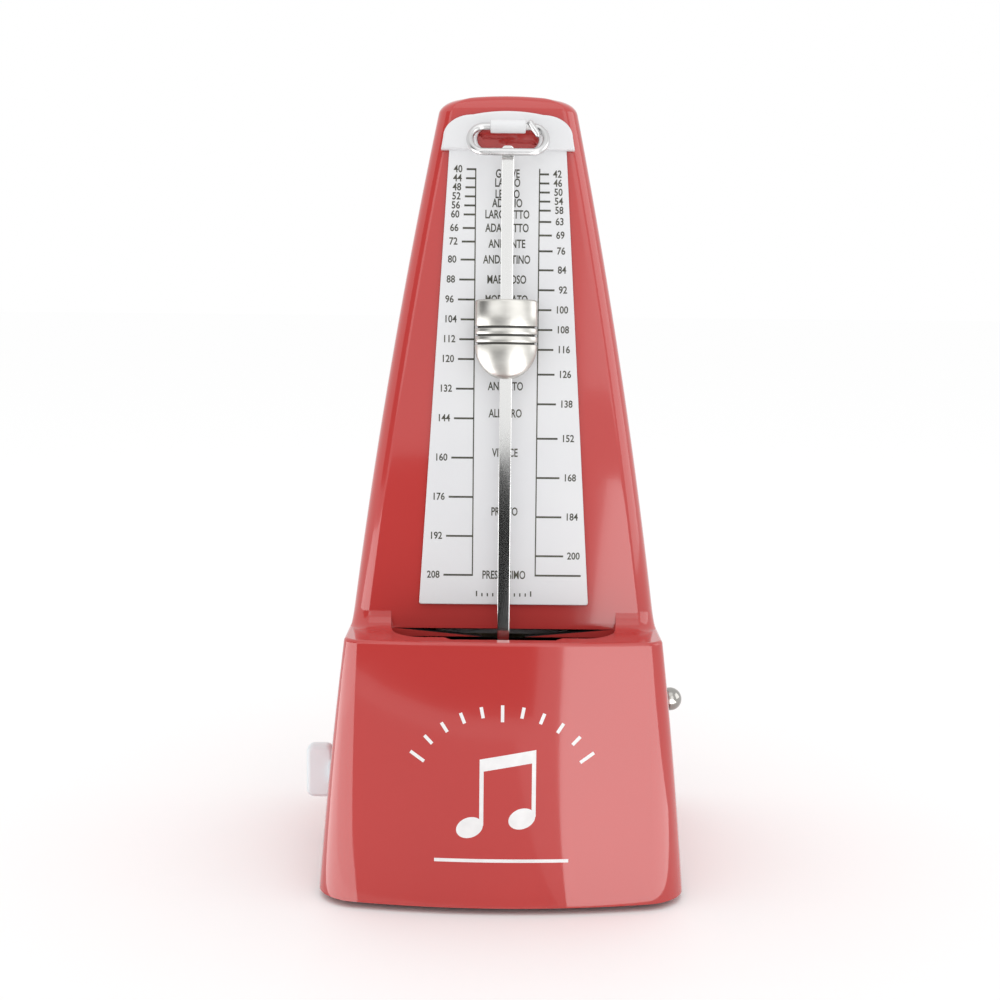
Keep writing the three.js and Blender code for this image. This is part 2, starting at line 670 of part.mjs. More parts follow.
function buildDial() {
  add(dialFrame, "dial_plate", dialPlate(), whitePlastic);
  add(dialFrame, "pendulum_clip", clipLoop(), steel);
  add(dialFrame, "pendulum_rod", pendulumRod(), steel);
  add(dialFrame, "pendulum_arbor", pendulumArbor(), steel);
  add(dialFrame, "pallet_fork", palletFork(), steel);
  add(dialFrame, "pendulum_bob", pendulumBob(), brass);
  const weight = add(dialFrame, "sliding_weight", slidingWeight(), nickel);
  weight.position.set(0, -ROD_OUT, WEIGHT_TOP_UP);
  const grip = add(dialFrame, "weight_grip_spring", box(-1.2, 1.2, 0.9, 1.15, -17, -3), steel);
  grip.position.copy(weight.position);
}

// ---------------------------------------------------------------- movement
const PRESSURE = THREE.MathUtils.degToRad(20);

function involute(angle) {
  return Math.tan(angle) - angle;
}

// Spur gear outline in its own plane, with a tooth on the first axis, turned by `turn`.
function gearShape(teeth, module, turn, boreRadius) {
  const pitch = (module * teeth) / 2;
  const base = pitch * Math.cos(PRESSURE);
  const tip = pitch + 0.8 * module;
  const root = pitch - 1.2 * module;
  const half = (Math.PI / (2 * teeth)) * TOOTH_FILL;
  const reach = (r) => half + involute(PRESSURE) - involute(Math.acos(Math.min(1, base / r)));
  const flank = [root, Math.max(root + 0.01, base), tip];
  const points = [];
  for (let i = 0; i < teeth; i++) {
    const centre = turn + (i * 2 * Math.PI) / teeth;
    for (const r of flank) points.push([r, centre - reach(Math.max(r, base))]);
    for (const r of [...flank].reverse()) points.push([r, centre + reach(Math.max(r, base))]);
  }
  const shape = shapeOf(points.map(([r, a]) => [r * Math.cos(a), r * Math.sin(a)]));
  if (boreRadius) {
    const bore = new THREE.Path();
    bore.absarc(0, 0, boreRadius, 0, Math.PI * 2, true);
    shape.holes.push(bore);
  }
  return shape;
}

function sawShape(teeth, outer, inner, boreRadius) {
  const points = [];
  for (let i = 0; i < teeth; i++) {
    const a = (i * 2 * Math.PI) / teeth;
    points.push([outer * Math.cos(a), outer * Math.sin(a)]);
    points.push([inner * Math.cos(a + 0.06), inner * Math.sin(a + 0.06)]);
  }
  const shape = shapeOf(points);
  const bore = new THREE.Path();
  bore.absarc(0, 0, boreRadius, 0, Math.PI * 2, true);
  shape.holes.push(bore);
  return shape;
}

// The point at two given distances from two arbors, on the side towards the back.
function meet(a, b, fromA, fromB) {
  const gap = Math.hypot(b.y - a.y, b.z - a.z);
  const along = (fromA ** 2 - fromB ** 2 + gap ** 2) / (2 * gap);
  const off = Math.sqrt(fromA ** 2 - along ** 2);
  const [ey, ez] = [(b.y - a.y) / gap, (b.z - a.z) / gap];
  return { y: a.y + ey * along + ez * off, z: a.z + ez * along - ey * off };
}

const GREAT_DISTANCE = (GREAT_MODULE * (GREAT_TEETH + GREAT_PINION)) / 2;
const SECOND_DISTANCE = (SECOND_MODULE * (SECOND_TEETH + SECOND_PINION)) / 2;
const SECOND = meet(BARREL, ESCAPE, GREAT_DISTANCE, SECOND_DISTANCE);

function bearing(from, to) {
  return Math.atan2(to.z - from.z, to.y - from.y);
}

function onArbor({ y, z }) {
  const group = new THREE.Group();
  group.position.set(0, y, z);
  metronome.add(group);
  return group;
}

function movementPlate(side) {
  const [x0, x1] = side > 0 ? [PLATE_IN, PLATE_IN + PLATE_THICK] : [-PLATE_IN - PLATE_THICK, -PLATE_IN];
  const bottom = BASE_BOTTOM + BASE_THICK + GAP;
  const sheet = extrudeX(roundedRect(PLATE_FRONT, PLATE_BACK, bottom, PLATE_TOP, 2), x0, x1, 3);
  const flange = side > 0 ? box(x0 + 1, x1 + PLATE_FLANGE, -20, 6, bottom, bottom + PLATE_THICK)
    : box(x0 - PLATE_FLANGE, x1 - 1, -20, 6, bottom, bottom + PLATE_THICK);
  const holes = [
    rodX(WINDING_ARBOR + RUNNING, -30, 30, 24).translate(0, BARREL.y, BARREL.z),
    rodX(TRAIN_ARBOR + RUNNING, -30, 30).translate(0, SECOND.y, SECOND.z),
    rodX(TRAIN_ARBOR + RUNNING, -30, 30).translate(0, ESCAPE.y, ESCAPE.z),
    ...pillarPlaces().map(({ y, z }) => rodX(1.2 + GAP, -30, 30, 16).translate(0, y, z)),
    ...plateScrewPlaces(side).map(({ x, y }) => rodZ(SCREW + GAP, 0, 12, 8).translate(x, y, 0)),
  ];
  if (side > 0) holes.push(rodX(SELECTOR_RADIUS + RUNNING, 0, 30, 24).translate(0, SELECTOR.y, SELECTOR.z));
  return cut(join(sheet, flange), ...holes);
}

function pillarPlaces() {
  return PILLAR_COLUMNS.flatMap((y) => PILLAR_ROWS.map((z) => ({ y, z })));
}

function plateScrewPlaces(side) {
  return [-15, 1].map((y) => ({ x: side * (PLATE_IN + 5.6), y }));
}

function pillar() {
  const [a, b] = [PLATE_IN - GAP, PLATE_IN + PLATE_THICK + 0.8];
  const profile = [[0, -b], [1.2, -b], [1.2, -a], [PILLAR, -a], [PILLAR, a], [1.2, a], [1.2, b], [0, b]];
  return lathe(profile, 10).applyMatrix4(LATHE_TO_X);
}

// A tool along the pendulum's axis, in the case's frame.
function pendulumBore() {
  dialFrame.updateMatrixWorld(true);
  const hole = rodY(PENDULUM_ARBOR + RUNNING, -12, 40, 24).translate(0, 0, PIVOT_UP);
  return hole.applyMatrix4(dialFrame.matrixWorld);
}

function frontBridge() {
  const y1 = PLATE_FRONT - GAP;
  return cut(box(-PLATE_IN - PLATE_THICK, PLATE_IN + PLATE_THICK, y1 - 1.4, y1, 40, 48), pendulumBore());
}

function rearBridge() {
  const bottom = BASE_BOTTOM + BASE_THICK + GAP;
  const strip = box(-3, 3, -7.4, -5.8, bottom, 46);
  const foot = box(-3, 3, -7.4, 4, bottom, bottom + 1.6);
  return cut(join(strip, foot), pendulumBore(), rodZ(SCREW + GAP, 0, 12, 8));
}

function barrelBody() {
  const [r, w] = [BARREL_RADIUS, BARREL_WALL];
  const hole = WINDING_ARBOR + RUNNING;
  const cup = [[r - w, BARREL_LEFT], [r, BARREL_LEFT], [r, BARREL_RIGHT + 0.5], [hole, BARREL_RIGHT + 0.5]];
  cup.push([hole, BARREL_RIGHT - w], [r - w, BARREL_RIGHT - w]);
  const teeth = gearShape(GREAT_TEETH, GREAT_MODULE, bearing(BARREL, SECOND), hole);
  const wheel = extrudeX(teeth, BARREL_RIGHT, BARREL_RIGHT + 1.4, 12);
  return join(lathe(cup, 28).applyMatrix4(LATHE_TO_X), wheel);
}

function mainspring() {
  const turns = 5;
  const steps = 50;
  const [inner, outer, thick] = [WINDING_ARBOR + 1, BARREL_RADIUS - BARREL_WALL - 0.8, 0.6];
  const side = (grow) =>
    levels(0, 1, steps).map((t) => {
      const r = inner + (outer - inner) * t + grow;
      const a = t * turns * 2 * Math.PI;
      return [r * Math.cos(a), r * Math.sin(a)];
    });
  const strip = shapeOf([...side(thick), ...side(0).reverse()]);
  return extrudeX(strip, BARREL_LEFT + 0.5, BARREL_RIGHT - BARREL_WALL - 0.5, 1);
}

function buildWinding() {
  const group = onArbor(BARREL);
  const outside = -PLATE_IN - PLATE_THICK;
  add(group, "spring_barrel", barrelBody(), brass);
  const cover = ringX(BARREL_RADIUS, WINDING_ARBOR + RUNNING, BARREL_LEFT - GAP - 1, BARREL_LEFT - GAP, 28);
  add(group, "barrel_cover", cover, brass);
  add(group, "mainspring", mainspring(), steel);
  add(group, "winding_arbor", rodX(WINDING_ARBOR, -46, PLATE_IN + PLATE_THICK + 1, 24), steel);
  const ratchet = sawShape(RATCHET_TEETH, RATCHET_RADIUS, RATCHET_RADIUS - 1.3, WINDING_ARBOR + GAP);
  add(group, "ratchet_wheel", extrudeX(ratchet, outside - 2.4, outside - 0.6, 8), steel);
  add(group, "winding_key", windingKey(), whitePlastic);
}

function windingKey() {
  const side = taper(BASE_HALF_WIDTH, TOP_HALF_WIDTH, BARREL.z - KEY_TALL / 2);
  const wing = extrudeX(
    roundedRect(-KEY_THICK / 2, KEY_THICK / 2, -KEY_TALL / 2, KEY_TALL / 2, 2),
    KEY_OUT, -side - 0.5, 4,
  );
  const soft = extrude(roundedRect(KEY_OUT, -side + 3, -KEY_TALL / 2, KEY_TALL / 2, 2.2), KEY_THICK + 2, 4);
  const upright = soft.applyMatrix4(new THREE.Matrix4().makeRotationX(Math.PI / 2));
  const trimmed = common(wing, upright.translate(0, KEY_THICK / 2 + 1, 0));
  const hub = rodX(KEY_HUB, -side - 1.5, -39, 28);
  return cut(join(trimmed, hub), rodX(WINDING_ARBOR + GAP, -46.3, -30, 20));
}

// The click lies on the left plate, its tip between two ratchet teeth.
const CLICK = { y: BARREL.y + 13, z: BARREL.z - 6 };

function click() {
  const outside = -PLATE_IN - PLATE_THICK;
  const [dy, dz] = [BARREL.y - CLICK.y, BARREL.z - CLICK.z];
  const far = Math.hypot(dy, dz);
  const lever = far - RATCHET_RADIUS + 0.45;
  const shape = shapeOf([[0, -1.6], [lever - 1.5, -1.1], [lever, -0.1], [lever - 0.3, 0.35], [0, 1.6]]);
  const arm = extrudeX(shape, outside - 2.2, outside - 0.7, 1);
  const eye = rodX(2.3, outside - 2.2, outside - 0.7, 20);
  const turned = cut(join(arm, eye), rodX(0.9 + RUNNING, -40, 0, 16));
  return turned.applyMatrix4(new THREE.Matrix4().makeRotationX(Math.atan2(dz, dy) + 0.08));
}

function buildClick() {
  const outside = -PLATE_IN - PLATE_THICK;
  const group = onArbor(CLICK);
  add(group, "click", click(), steel);
  const rivet = join(rodX(0.9, outside - 3, outside - GAP, 16), rodX(1.8, outside - 3.3, outside - 2.5, 16));
  add(group, "click_rivet", rivet, brass);
  const path = new THREE.CatmullRomCurve3([
    new THREE.Vector3(outside - 1.4, 3, -12),
    new THREE.Vector3(outside - 1.4, 3.6, -7),
    new THREE.Vector3(outside - 1.4, 1.2, -3.4),
    new THREE.Vector3(outside - 1.4, -2.2, -2.6),
  ]);
  const section = new THREE.Shape();
  section.absarc(0, 0, 0.3, 0, Math.PI * 2);
  const settings = { extrudePath: path, steps: 14, curveSegments: 3, bevelEnabled: false };
  add(group, "click_spring", new THREE.ExtrudeGeometry(section, settings), steel);
}

function buildTrain() {
  const second = onArbor(SECOND);
  const end = PLATE_IN + PLATE_THICK + 0.6;
  const phase = bearing(SECOND, BARREL) + Math.PI / GREAT_PINION;
  const leaves = gearShape(GREAT_PINION, GREAT_MODULE, phase);
  const pinion = extrudeX(leaves, BARREL_RIGHT - 0.4, BARREL_RIGHT + 1.8, 1);
  add(second, "intermediate_arbor", join(rodX(TRAIN_ARBOR, -end, end), pinion), steel);
  const wheel = gearShape(SECOND_TEETH, SECOND_MODULE, bearing(SECOND, ESCAPE), TRAIN_ARBOR + GAP);
  add(second, "intermediate_wheel", extrudeX(wheel, 8, 9.2, 10), brass);
  add(second, "beat_cams", beatCams(), blackPlastic);

  const escape = onArbor(ESCAPE);
  const turn = bearing(ESCAPE, SECOND) + Math.PI / SECOND_PINION;
  const small = extrudeX(gearShape(SECOND_PINION, SECOND_MODULE, turn), 7.5, 9.7, 1);
  add(escape, "escape_arbor", join(rodX(TRAIN_ARBOR, -end, end), small), steel);
  const saw = sawShape(ESCAPE_TEETH, ESCAPE_RADIUS, ESCAPE_RADIUS - 1.9, TRAIN_ARBOR + GAP);
  add(escape, "escape_wheel", extrudeX(saw, -0.6, 0.6, 10), brass);
}

// Three star cams on one sleeve: two, three and four lobes.
function beatCams() {
  const first = HAMMER_X + CAM_STEP;
  const sleeve = rodX(3, first - 0.8, first + 2 * CAM_STEP + 0.8, 24);
  const stars = [2, 3, 4].map((lobes, i) => {
    const points = levels(0, 1, 32).slice(0, -1).map((t) => {
      const r = CAM_RADIUS - 1.2 + 1.2 * Math.cos(t * 2 * Math.PI * lobes);
      return [r * Math.cos(t * 2 * Math.PI), r * Math.sin(t * 2 * Math.PI)];
    });
    return extrudeX(shapeOf(points), first + i * CAM_STEP - 0.6, first + i * CAM_STEP + 0.6, 1);
  });
  return cut(join(sleeve, ...stars), rodX(TRAIN_ARBOR + GAP, 0, 30));
}

// ---------------------------------------------------------------- selector, hammer and bell
function selectorKnob() {
  const start = KNOB_OUT - KNOB_LONG;
  const profile = [[0, start], [2.2, start], [2.6, start + 1.2]];
  for (let i = 0; i <= 6; i++) {
    const a = -0.75 + (i / 6) * (Math.PI / 2 + 0.75);
    profile.push([Math.max(0, KNOB_RADIUS * Math.cos(a)), KNOB_OUT - KNOB_RADIUS + KNOB_RADIUS * Math.sin(a)]);
  }
  const ball = lathe(profile, 16).applyMatrix4(LATHE_TO_X);
  return cut(ball, rodX(SELECTOR_RADIUS + GAP, 0, KNOB_OUT - 3.5, 20));
}

function hammerLever() {
  const [x0, x1] = [HAMMER_X - 0.8, HAMMER_X + 0.8];
  const sleeve = rodX(3, x0, x1 + 1.2, 24);
  const down = box(x0, x1, 0.4, 2.4, -HAMMER_DROP, 0);
  const feeler = box(x0, x1, -5.2, -2, 0.2, 2.6);
  const head = rodY(2, -1.6, 2.6, 20).translate(HAMMER_X, 0, -HAMMER_DROP);
  return cut(join(sleeve, down, feeler, head), rodX(SELECTOR_RADIUS + RUNNING, 0, 30, 24));
}

const BELL_X = HAMMER_X + 1.5 * CAM_STEP;
const BELL_Y = SELECTOR.y + 2.6 + 0.5 + BELL_RADIUS;

function bellCup() {
  const tall = BELL_TOP - BELL_RIM;
  const skin = (inset) =>
    levels(0, 1, 5).map((t) => {
      const a = (t * Math.PI) / 2;
      return [(BELL_RADIUS - inset) * Math.cos(a) ** 0.7, (tall - inset) * Math.sin(a)];
    });
  const hole = 1.5 + GAP;
  const outside = skin(0).slice(0, -1);
  const inside = skin(BELL_WALL).slice(0, -1).reverse();
  const profile = [...outside, [hole, tall], [hole, tall - BELL_WALL], ...inside];
  return lathe(profile, 24).applyMatrix4(LATHE_TO_Z);
}

function buildBeat() {
  const group = onArbor(SELECTOR);
  add(group, "selector_rod", rodX(SELECTOR_RADIUS, HAMMER_X - 0.6, KNOB_OUT - 3.9, 20), steel);
  add(group, "selector_knob", selectorKnob(), nickel);
  add(group, "hammer_lever", hammerLever(), steel);
  const bottom = BASE_BOTTOM + BASE_THICK + GAP;
  const bellGroup = new THREE.Group();
  bellGroup.position.set(BELL_X, BELL_Y, 0);
  metronome.add(bellGroup);
  add(bellGroup, "bell", bellCup().translate(0, 0, BELL_RIM), nickel);
  const shelf = BELL_TOP - BELL_WALL - GAP;
  const post = [[0, bottom], [5, bottom], [5, bottom + 1.6], [2.4, bottom + 3], [2.4, shelf], [1.5, shelf]];
  post.push([1.5, BELL_TOP + 3], [0, BELL_TOP + 3]);
  add(bellGroup, "bell_post", lathe(post, 20).applyMatrix4(LATHE_TO_Z), steel);
  const nut = lathe([[1.8, BELL_TOP + GAP], [3.4, BELL_TOP + GAP], [3.4, BELL_TOP + 2.4], [1.8, BELL_TOP + 2.4]], 6);
  add(bellGroup, "bell_nut", nut.applyMatrix4(LATHE_TO_Z), brass);
}

function buildFrame() {
  const group = new THREE.Group();
  metronome.add(group);
  add(group, "movement_plate_left", movementPlate(-1), brass);
  add(group, "movement_plate_right", movementPlate(1), brass);
  pillarPlaces().forEach(({ y, z }, i) => {
    add(group, `pillar_${i + 1}`, pillar(), steel).position.set(0, y, z);
  });
  add(group, "front_bridge", frontBridge(), brass);
  add(group, "rear_bridge", rearBridge(), brass);
  const flangeTop = BASE_BOTTOM + BASE_THICK + GAP + PLATE_THICK + GAP;
  [-1, 1].forEach((side) => {
    plateScrewPlaces(side).forEach(({ x, y }, i) => {
      const screw = add(group, `plate_screw_${side > 0 ? "right" : "left"}_${i + 1}`, screwZ(2.5), steel);
      screw.rotation.x = Math.PI;
      screw.position.set(x, y, flangeTop);
    });
  });
}

buildCase();
buildDial();
buildFrame();
buildWinding();
buildClick();
buildTrain();
buildBeat();

export default metronome;
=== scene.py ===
# %% [markdown]
# # A pyramid metronome, modelled in Blender around its CAD frame
# The frame holds every part's size, place and joints. This script gives the parts their finished
# shapes and materials. Everything is in metres, +Z is up, and the dial faces -Y.

# %% Load the frame
import json
import math
import bpy
import bmesh
from mathutils import Matrix, Vector


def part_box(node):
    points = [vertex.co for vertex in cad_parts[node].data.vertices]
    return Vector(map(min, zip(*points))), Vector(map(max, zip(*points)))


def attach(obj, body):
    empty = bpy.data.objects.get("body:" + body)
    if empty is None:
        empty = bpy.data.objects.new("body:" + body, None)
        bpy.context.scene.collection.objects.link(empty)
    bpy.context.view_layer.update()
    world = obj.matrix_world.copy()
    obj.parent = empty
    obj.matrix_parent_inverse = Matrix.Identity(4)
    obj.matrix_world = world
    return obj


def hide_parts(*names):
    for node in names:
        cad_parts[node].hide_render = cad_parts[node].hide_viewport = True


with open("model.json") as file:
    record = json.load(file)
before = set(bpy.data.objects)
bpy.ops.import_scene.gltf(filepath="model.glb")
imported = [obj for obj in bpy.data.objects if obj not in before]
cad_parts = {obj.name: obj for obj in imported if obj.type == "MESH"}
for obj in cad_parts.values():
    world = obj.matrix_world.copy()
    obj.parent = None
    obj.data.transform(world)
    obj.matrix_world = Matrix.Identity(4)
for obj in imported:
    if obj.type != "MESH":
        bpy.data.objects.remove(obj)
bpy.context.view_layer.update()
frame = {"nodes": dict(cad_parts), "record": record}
MM = 0.001

# %% [markdown]
# ## Camera
# The camera stands in front of the metronome, a little above its middle, and looks slightly down.
# It is made first, so that each later step can be judged from the same place.

# %% Camera
CAMERA_PLACE = Vector((-1.24, -434, 165)) * MM
CAMERA_DOWN = math.radians(7.78)
CAMERA_ROLL = math.radians(0.55)


def make_camera():
    data = bpy.data.cameras.new("camera")
    data.lens = 53.69
    camera = bpy.data.objects.new("camera", data)
    bpy.context.scene.collection.objects.link(camera)
    pitch = Matrix.Rotation(math.pi / 2 - CAMERA_DOWN, 4, "X")
    camera.matrix_world = Matrix.Translation(CAMERA_PLACE) @ pitch @ Matrix.Rotation(CAMERA_ROLL, 4, "Z")
    bpy.context.scene.camera = camera
    return camera


camera = make_camera()
print("camera lens:", round(camera.data.lens, 2), "mm")

# %% [markdown]
# ## Materials
# Every finish is built from nodes. One helper starts a Principled shader, and two more add what a
# real surface has: a slow change of colour, and a fine unevenness that the light shows. The numbers
# that are the same all over a surface sit on the shader's own sockets.

# %% Material helpers
def new_material(name, colour, roughness, metallic=0.0, **sockets):
    material = bpy.data.materials.new(name)
    material.use_nodes = True
    shader = material.node_tree.nodes["Principled BSDF"]
    shader.inputs["Base Color"].default_value = (*colour, 1)
    shader.inputs["Roughness"].default_value = roughness
    shader.inputs["Metallic"].default_value = metallic
    for socket, value in sockets.items():
        shader.inputs[socket.replace("_", " ")].default_value = value
    return material


def add_node(material, kind, **settings):
    node = material.node_tree.nodes.new(kind)
    for key, value in settings.items():
        if hasattr(node, key):
            setattr(node, key, value)
        else:
            node.inputs[key.replace("_", " ").title()].default_value = value
    return node


def link(material, source, target):
    material.node_tree.links.new(source, target)


def object_coords(material, stretch=(1, 1, 1)):
    coords = add_node(material, "ShaderNodeTexCoord")
    mapping = add_node(material, "ShaderNodeMapping")
    mapping.inputs["Scale"].default_value = stretch
    link(material, coords.outputs["Object"], mapping.inputs["Vector"])
    return mapping.outputs["Vector"]


def noise_on(material, scale, detail=3.0, stretch=(1, 1, 1)):
    noise = add_node(material, "ShaderNodeTexNoise", scale=scale, detail=detail)
    link(material, object_coords(material, stretch), noise.inputs["Vector"])
    return noise.outputs["Fac"]


def vary_colour(material, dark, light, scale, stretch=(1, 1, 1)):
    ramp = add_node(material, "ShaderNodeValToRGB")
    ramp.color_ramp.elements[0].position = 0.3
    ramp.color_ramp.elements[0].color = (*dark, 1)
    ramp.color_ramp.elements[1].position = 0.7
    ramp.color_ramp.elements[1].color = (*light, 1)
    link(material, noise_on(material, scale, 2.0, stretch), ramp.inputs["Fac"])
    shader = material.node_tree.nodes["Principled BSDF"]
    link(material, ramp.outputs["Color"], shader.inputs["Base Color"])
    return material


def vary_roughness(material, low, high, scale, stretch=(1, 1, 1)):
    spread = add_node(material, "ShaderNodeMapRange")
    spread.inputs["To Min"].default_value = low
    spread.inputs["To Max"].default_value = high
    link(material, noise_on(material, scale, 3.0, stretch), spread.inputs["Value"])
    shader = material.node_tree.nodes["Principled BSDF"]
    link(material, spread.outputs["Result"], shader.inputs["Roughness"])
    return material


def add_bump(material, scale, height, stretch=(1, 1, 1), detail=3.0):
    bump = add_node(material, "ShaderNodeBump")
    bump.inputs["Strength"].default_value = 1.0
    bump.inputs["Distance"].default_value = height
    link(material, noise_on(material, scale, detail, stretch), bump.inputs["Height"])
    shader = material.node_tree.nodes["Principled BSDF"]
    link(material, bump.outputs["Normal"], shader.inputs["Normal"])
    return material


# %% Plastics, rubber and print
RED = (0.52, 0.05, 0.046)
red_case = new_material("red_case", RED, 0.09, Coat_Weight=0.25, Coat_Roughness=0.04)
vary_colour(red_case, [c * 0.97 for c in RED], [min(1, c * 1.03) for c in RED], 18)
add_bump(red_case, 90, 0.000012, detail=1.0)

white_dial = new_material("white_dial", (0.76, 0.765, 0.78), 0.3)
vary_colour(white_dial, (0.74, 0.745, 0.765), (0.785, 0.79, 0.8), 25)
add_bump(white_dial, 700, 0.00001)

white_key = new_material("white_key", (0.76, 0.82, 0.85), 0.35)
vary_colour(white_key, (0.74, 0.8, 0.83), (0.78, 0.84, 0.87), 90)
add_bump(white_key, 900, 0.00002)

black_base = new_material("black_base", (0.02, 0.02, 0.021), 0.55)
vary_colour(black_base, (0.016, 0.016, 0.017), (0.028, 0.028, 0.029), 60)
add_bump(black_base, 1400, 0.00005)

# Painted shade: the inside faces of the case are near-black, so that the view through the slot looks dark.
inside_painted_shade = new_material("inside_painted_shade", (0.012, 0.01, 0.01), 0.8)
vary_colour(inside_painted_shade, (0.009, 0.008, 0.008), (0.016, 0.013, 0.013), 40)

rubber = new_material("rubber", (0.018, 0.018, 0.018), 0.8)
vary_roughness(rubber, 0.7, 0.92, 200)
add_bump(rubber, 1800, 0.00004)

scale_ink = new_material("scale_ink", (0.045, 0.045, 0.03), 0.5)
vary_colour(scale_ink, (0.03, 0.03, 0.02), (0.075, 0.073, 0.05), 500)
case_ink = new_material("case_ink", (0.86, 0.86, 0.86), 0.45)
vary_colour(case_ink, (0.82, 0.82, 0.82), (0.9, 0.9, 0.9), 300)
print("plastics and print:", 8)

# %% Metals
STEEL = (0.8, 0.8, 0.79)
polished_steel = new_material("polished_steel", STEEL, 0.22, 1.0)
vary_roughness(polished_steel, 0.07, 0.14, 60, (8, 8, 0.6))
add_bump(polished_steel, 700, 0.000006, (6, 6, 0.3))

clip_steel = new_material("clip_steel", (0.6, 0.6, 0.6), 0.3, 1.0)
vary_roughness(clip_steel, 0.22, 0.38, 300)

satin_nickel = new_material("satin_nickel", (0.6, 0.59, 0.56), 0.33, 1.0)
vary_colour(satin_nickel, (0.49, 0.48, 0.45), (0.59, 0.58, 0.55), 130, (1, 1, 3))
add_bump(satin_nickel, 420, 0.000012, (0.4, 0.4, 9))

# Painted shade: the faces inside the weight's grooves are dark, standing in for the shade that falls in them.
groove_painted_shade = new_material("groove_painted_shade", (0.07, 0.068, 0.062), 0.5, 0.6)
vary_roughness(groove_painted_shade, 0.4, 0.6, 300)

knob_nickel = new_material("knob_nickel", (0.36, 0.35, 0.33), 0.12, 1.0)
vary_roughness(knob_nickel, 0.08, 0.18, 400)

movement_steel = new_material("movement_steel", (0.5, 0.5, 0.51), 0.34, 1.0)
vary_roughness(movement_steel, 0.25, 0.45, 500)

blued_steel = new_material("blued_steel", (0.06, 0.08, 0.16), 0.3, 1.0)
vary_colour(blued_steel, (0.04, 0.05, 0.11), (0.1, 0.12, 0.22), 120)

brass = new_material("brass", (0.62, 0.44, 0.16), 0.3, 1.0)
vary_colour(brass, (0.54, 0.37, 0.13), (0.68, 0.49, 0.2), 150)
add_bump(brass, 900, 0.000008, (1, 0.1, 1))

bell_metal = new_material("bell_metal", (0.64, 0.63, 0.6), 0.2, 1.0)
vary_roughness(bell_metal, 0.14, 0.26, 150)
print("metals:", 9)

# %% Materials of the carried-over nodes
NODE_MATERIALS = {
    "red_case": red_case,
    "black_base": black_base,
    "white_dial": white_dial,
    "white_key": white_key,
    "polished_steel": polished_steel,
    "movement_steel": movement_steel,
    "brass_bob": brass,
    "satin_nickel": satin_nickel,
    "brass_frame": brass,
    "brass_wheels": brass,
    "blued_steel": blued_steel,
    "black_cams": black_base,
    "polished_knob": knob_nickel,
    "bell_metal": bell_metal,
    "screw_steel": movement_steel,
    "rubber_feet": rubber,
}


def finish_nodes():
    for row in frame["record"]["subparts"]:
        node = frame["nodes"][row["node"]]
        node.data.materials.clear()
        node.data.materials.append(NODE_MATERIALS[row["material_slot"]])
    return len(frame["record"]["subparts"])


print("nodes with a finish:", finish_nodes())

# %% [markdown]
# ## Mesh helpers
# A piece starts as a bmesh, is shaped by operators, and becomes an object at the origin. Smooth
# shading with a limit on the angle keeps rounded faces soft and real edges crisp.

# %% Mesh helpers
def object_from(bm, name, material, body, sharp=35):
    for face in bm.faces:
        face.smooth = True
    for edge in bm.edges:
        if len(edge.link_faces) == 2:
            edge.smooth = edge.calc_face_angle(0) < math.radians(sharp)
    mesh = bpy.data.meshes.new(name)
    bm.to_mesh(mesh)
    bm.free()
    mesh.materials.append(material)
    piece = bpy.data.objects.new(name, mesh)
    bpy.context.scene.collection.objects.link(piece)
    if body:
        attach(piece, body)
    return piece


def baked(piece):
    """The piece's mesh with its modifiers applied, as a new bmesh."""
    evaluated = piece.evaluated_get(bpy.context.evaluated_depsgraph_get())
    mesh = bpy.data.meshes.new_from_object(evaluated)
    bm = bmesh.new()
    bm.from_mesh(mesh)
    bpy.data.meshes.remove(mesh)
    return bm


def even_shading(piece):
    """Lets the big faces decide the shading, so that flat areas next to small rounds look flat."""
    step = piece.modifiers.new("even shading", "WEIGHTED_NORMAL")
    step.keep_sharp = True
    step.weight = 80
    return piece


def tool_from(bm, name="tool", finish=0):
    """A boolean tool. The faces it cuts get the piece's material of that number; number 1 is the near-black painted
    shade of the case inside.
    """
    bmesh.ops.recalc_face_normals(bm, faces=bm.faces)
    for face in bm.faces:
        face.material_index = finish
    mesh = bpy.data.meshes.new(name)
    bm.to_mesh(mesh)
    bm.free()
    tool = bpy.data.objects.new(name, mesh)
    bpy.context.scene.collection.objects.link(tool)
    return tool


def boolean(piece, tools, operation):
    """Joins or cuts a piece with each tool in turn, and removes the tools."""
    for tool in tools:
        step = piece.modifiers.new("step", "BOOLEAN")
        step.operation = operation
        step.solver = "MANIFOLD"
        step.object = tool
    bpy.context.view_layer.update()
    bm = baked(piece)
    piece.modifiers.clear()
    bm.to_mesh(piece.data)
    bm.free()
    for tool in tools:
        bpy.data.objects.remove(tool)
    return piece


def lerp(a, b, t):
    return a + (b - a) * t


# %% [markdown]
# ## The case
# The case is one glossy red moulding: a tapering tower whose front is bowed below the ledge and
# flat, between two creases, above it. Box modelling with a subdivision surface would soften the
# creases, so each height gets its own outline, worked out by a formula, and the wall is made by
# extruding the first outline upwards ring by ring.

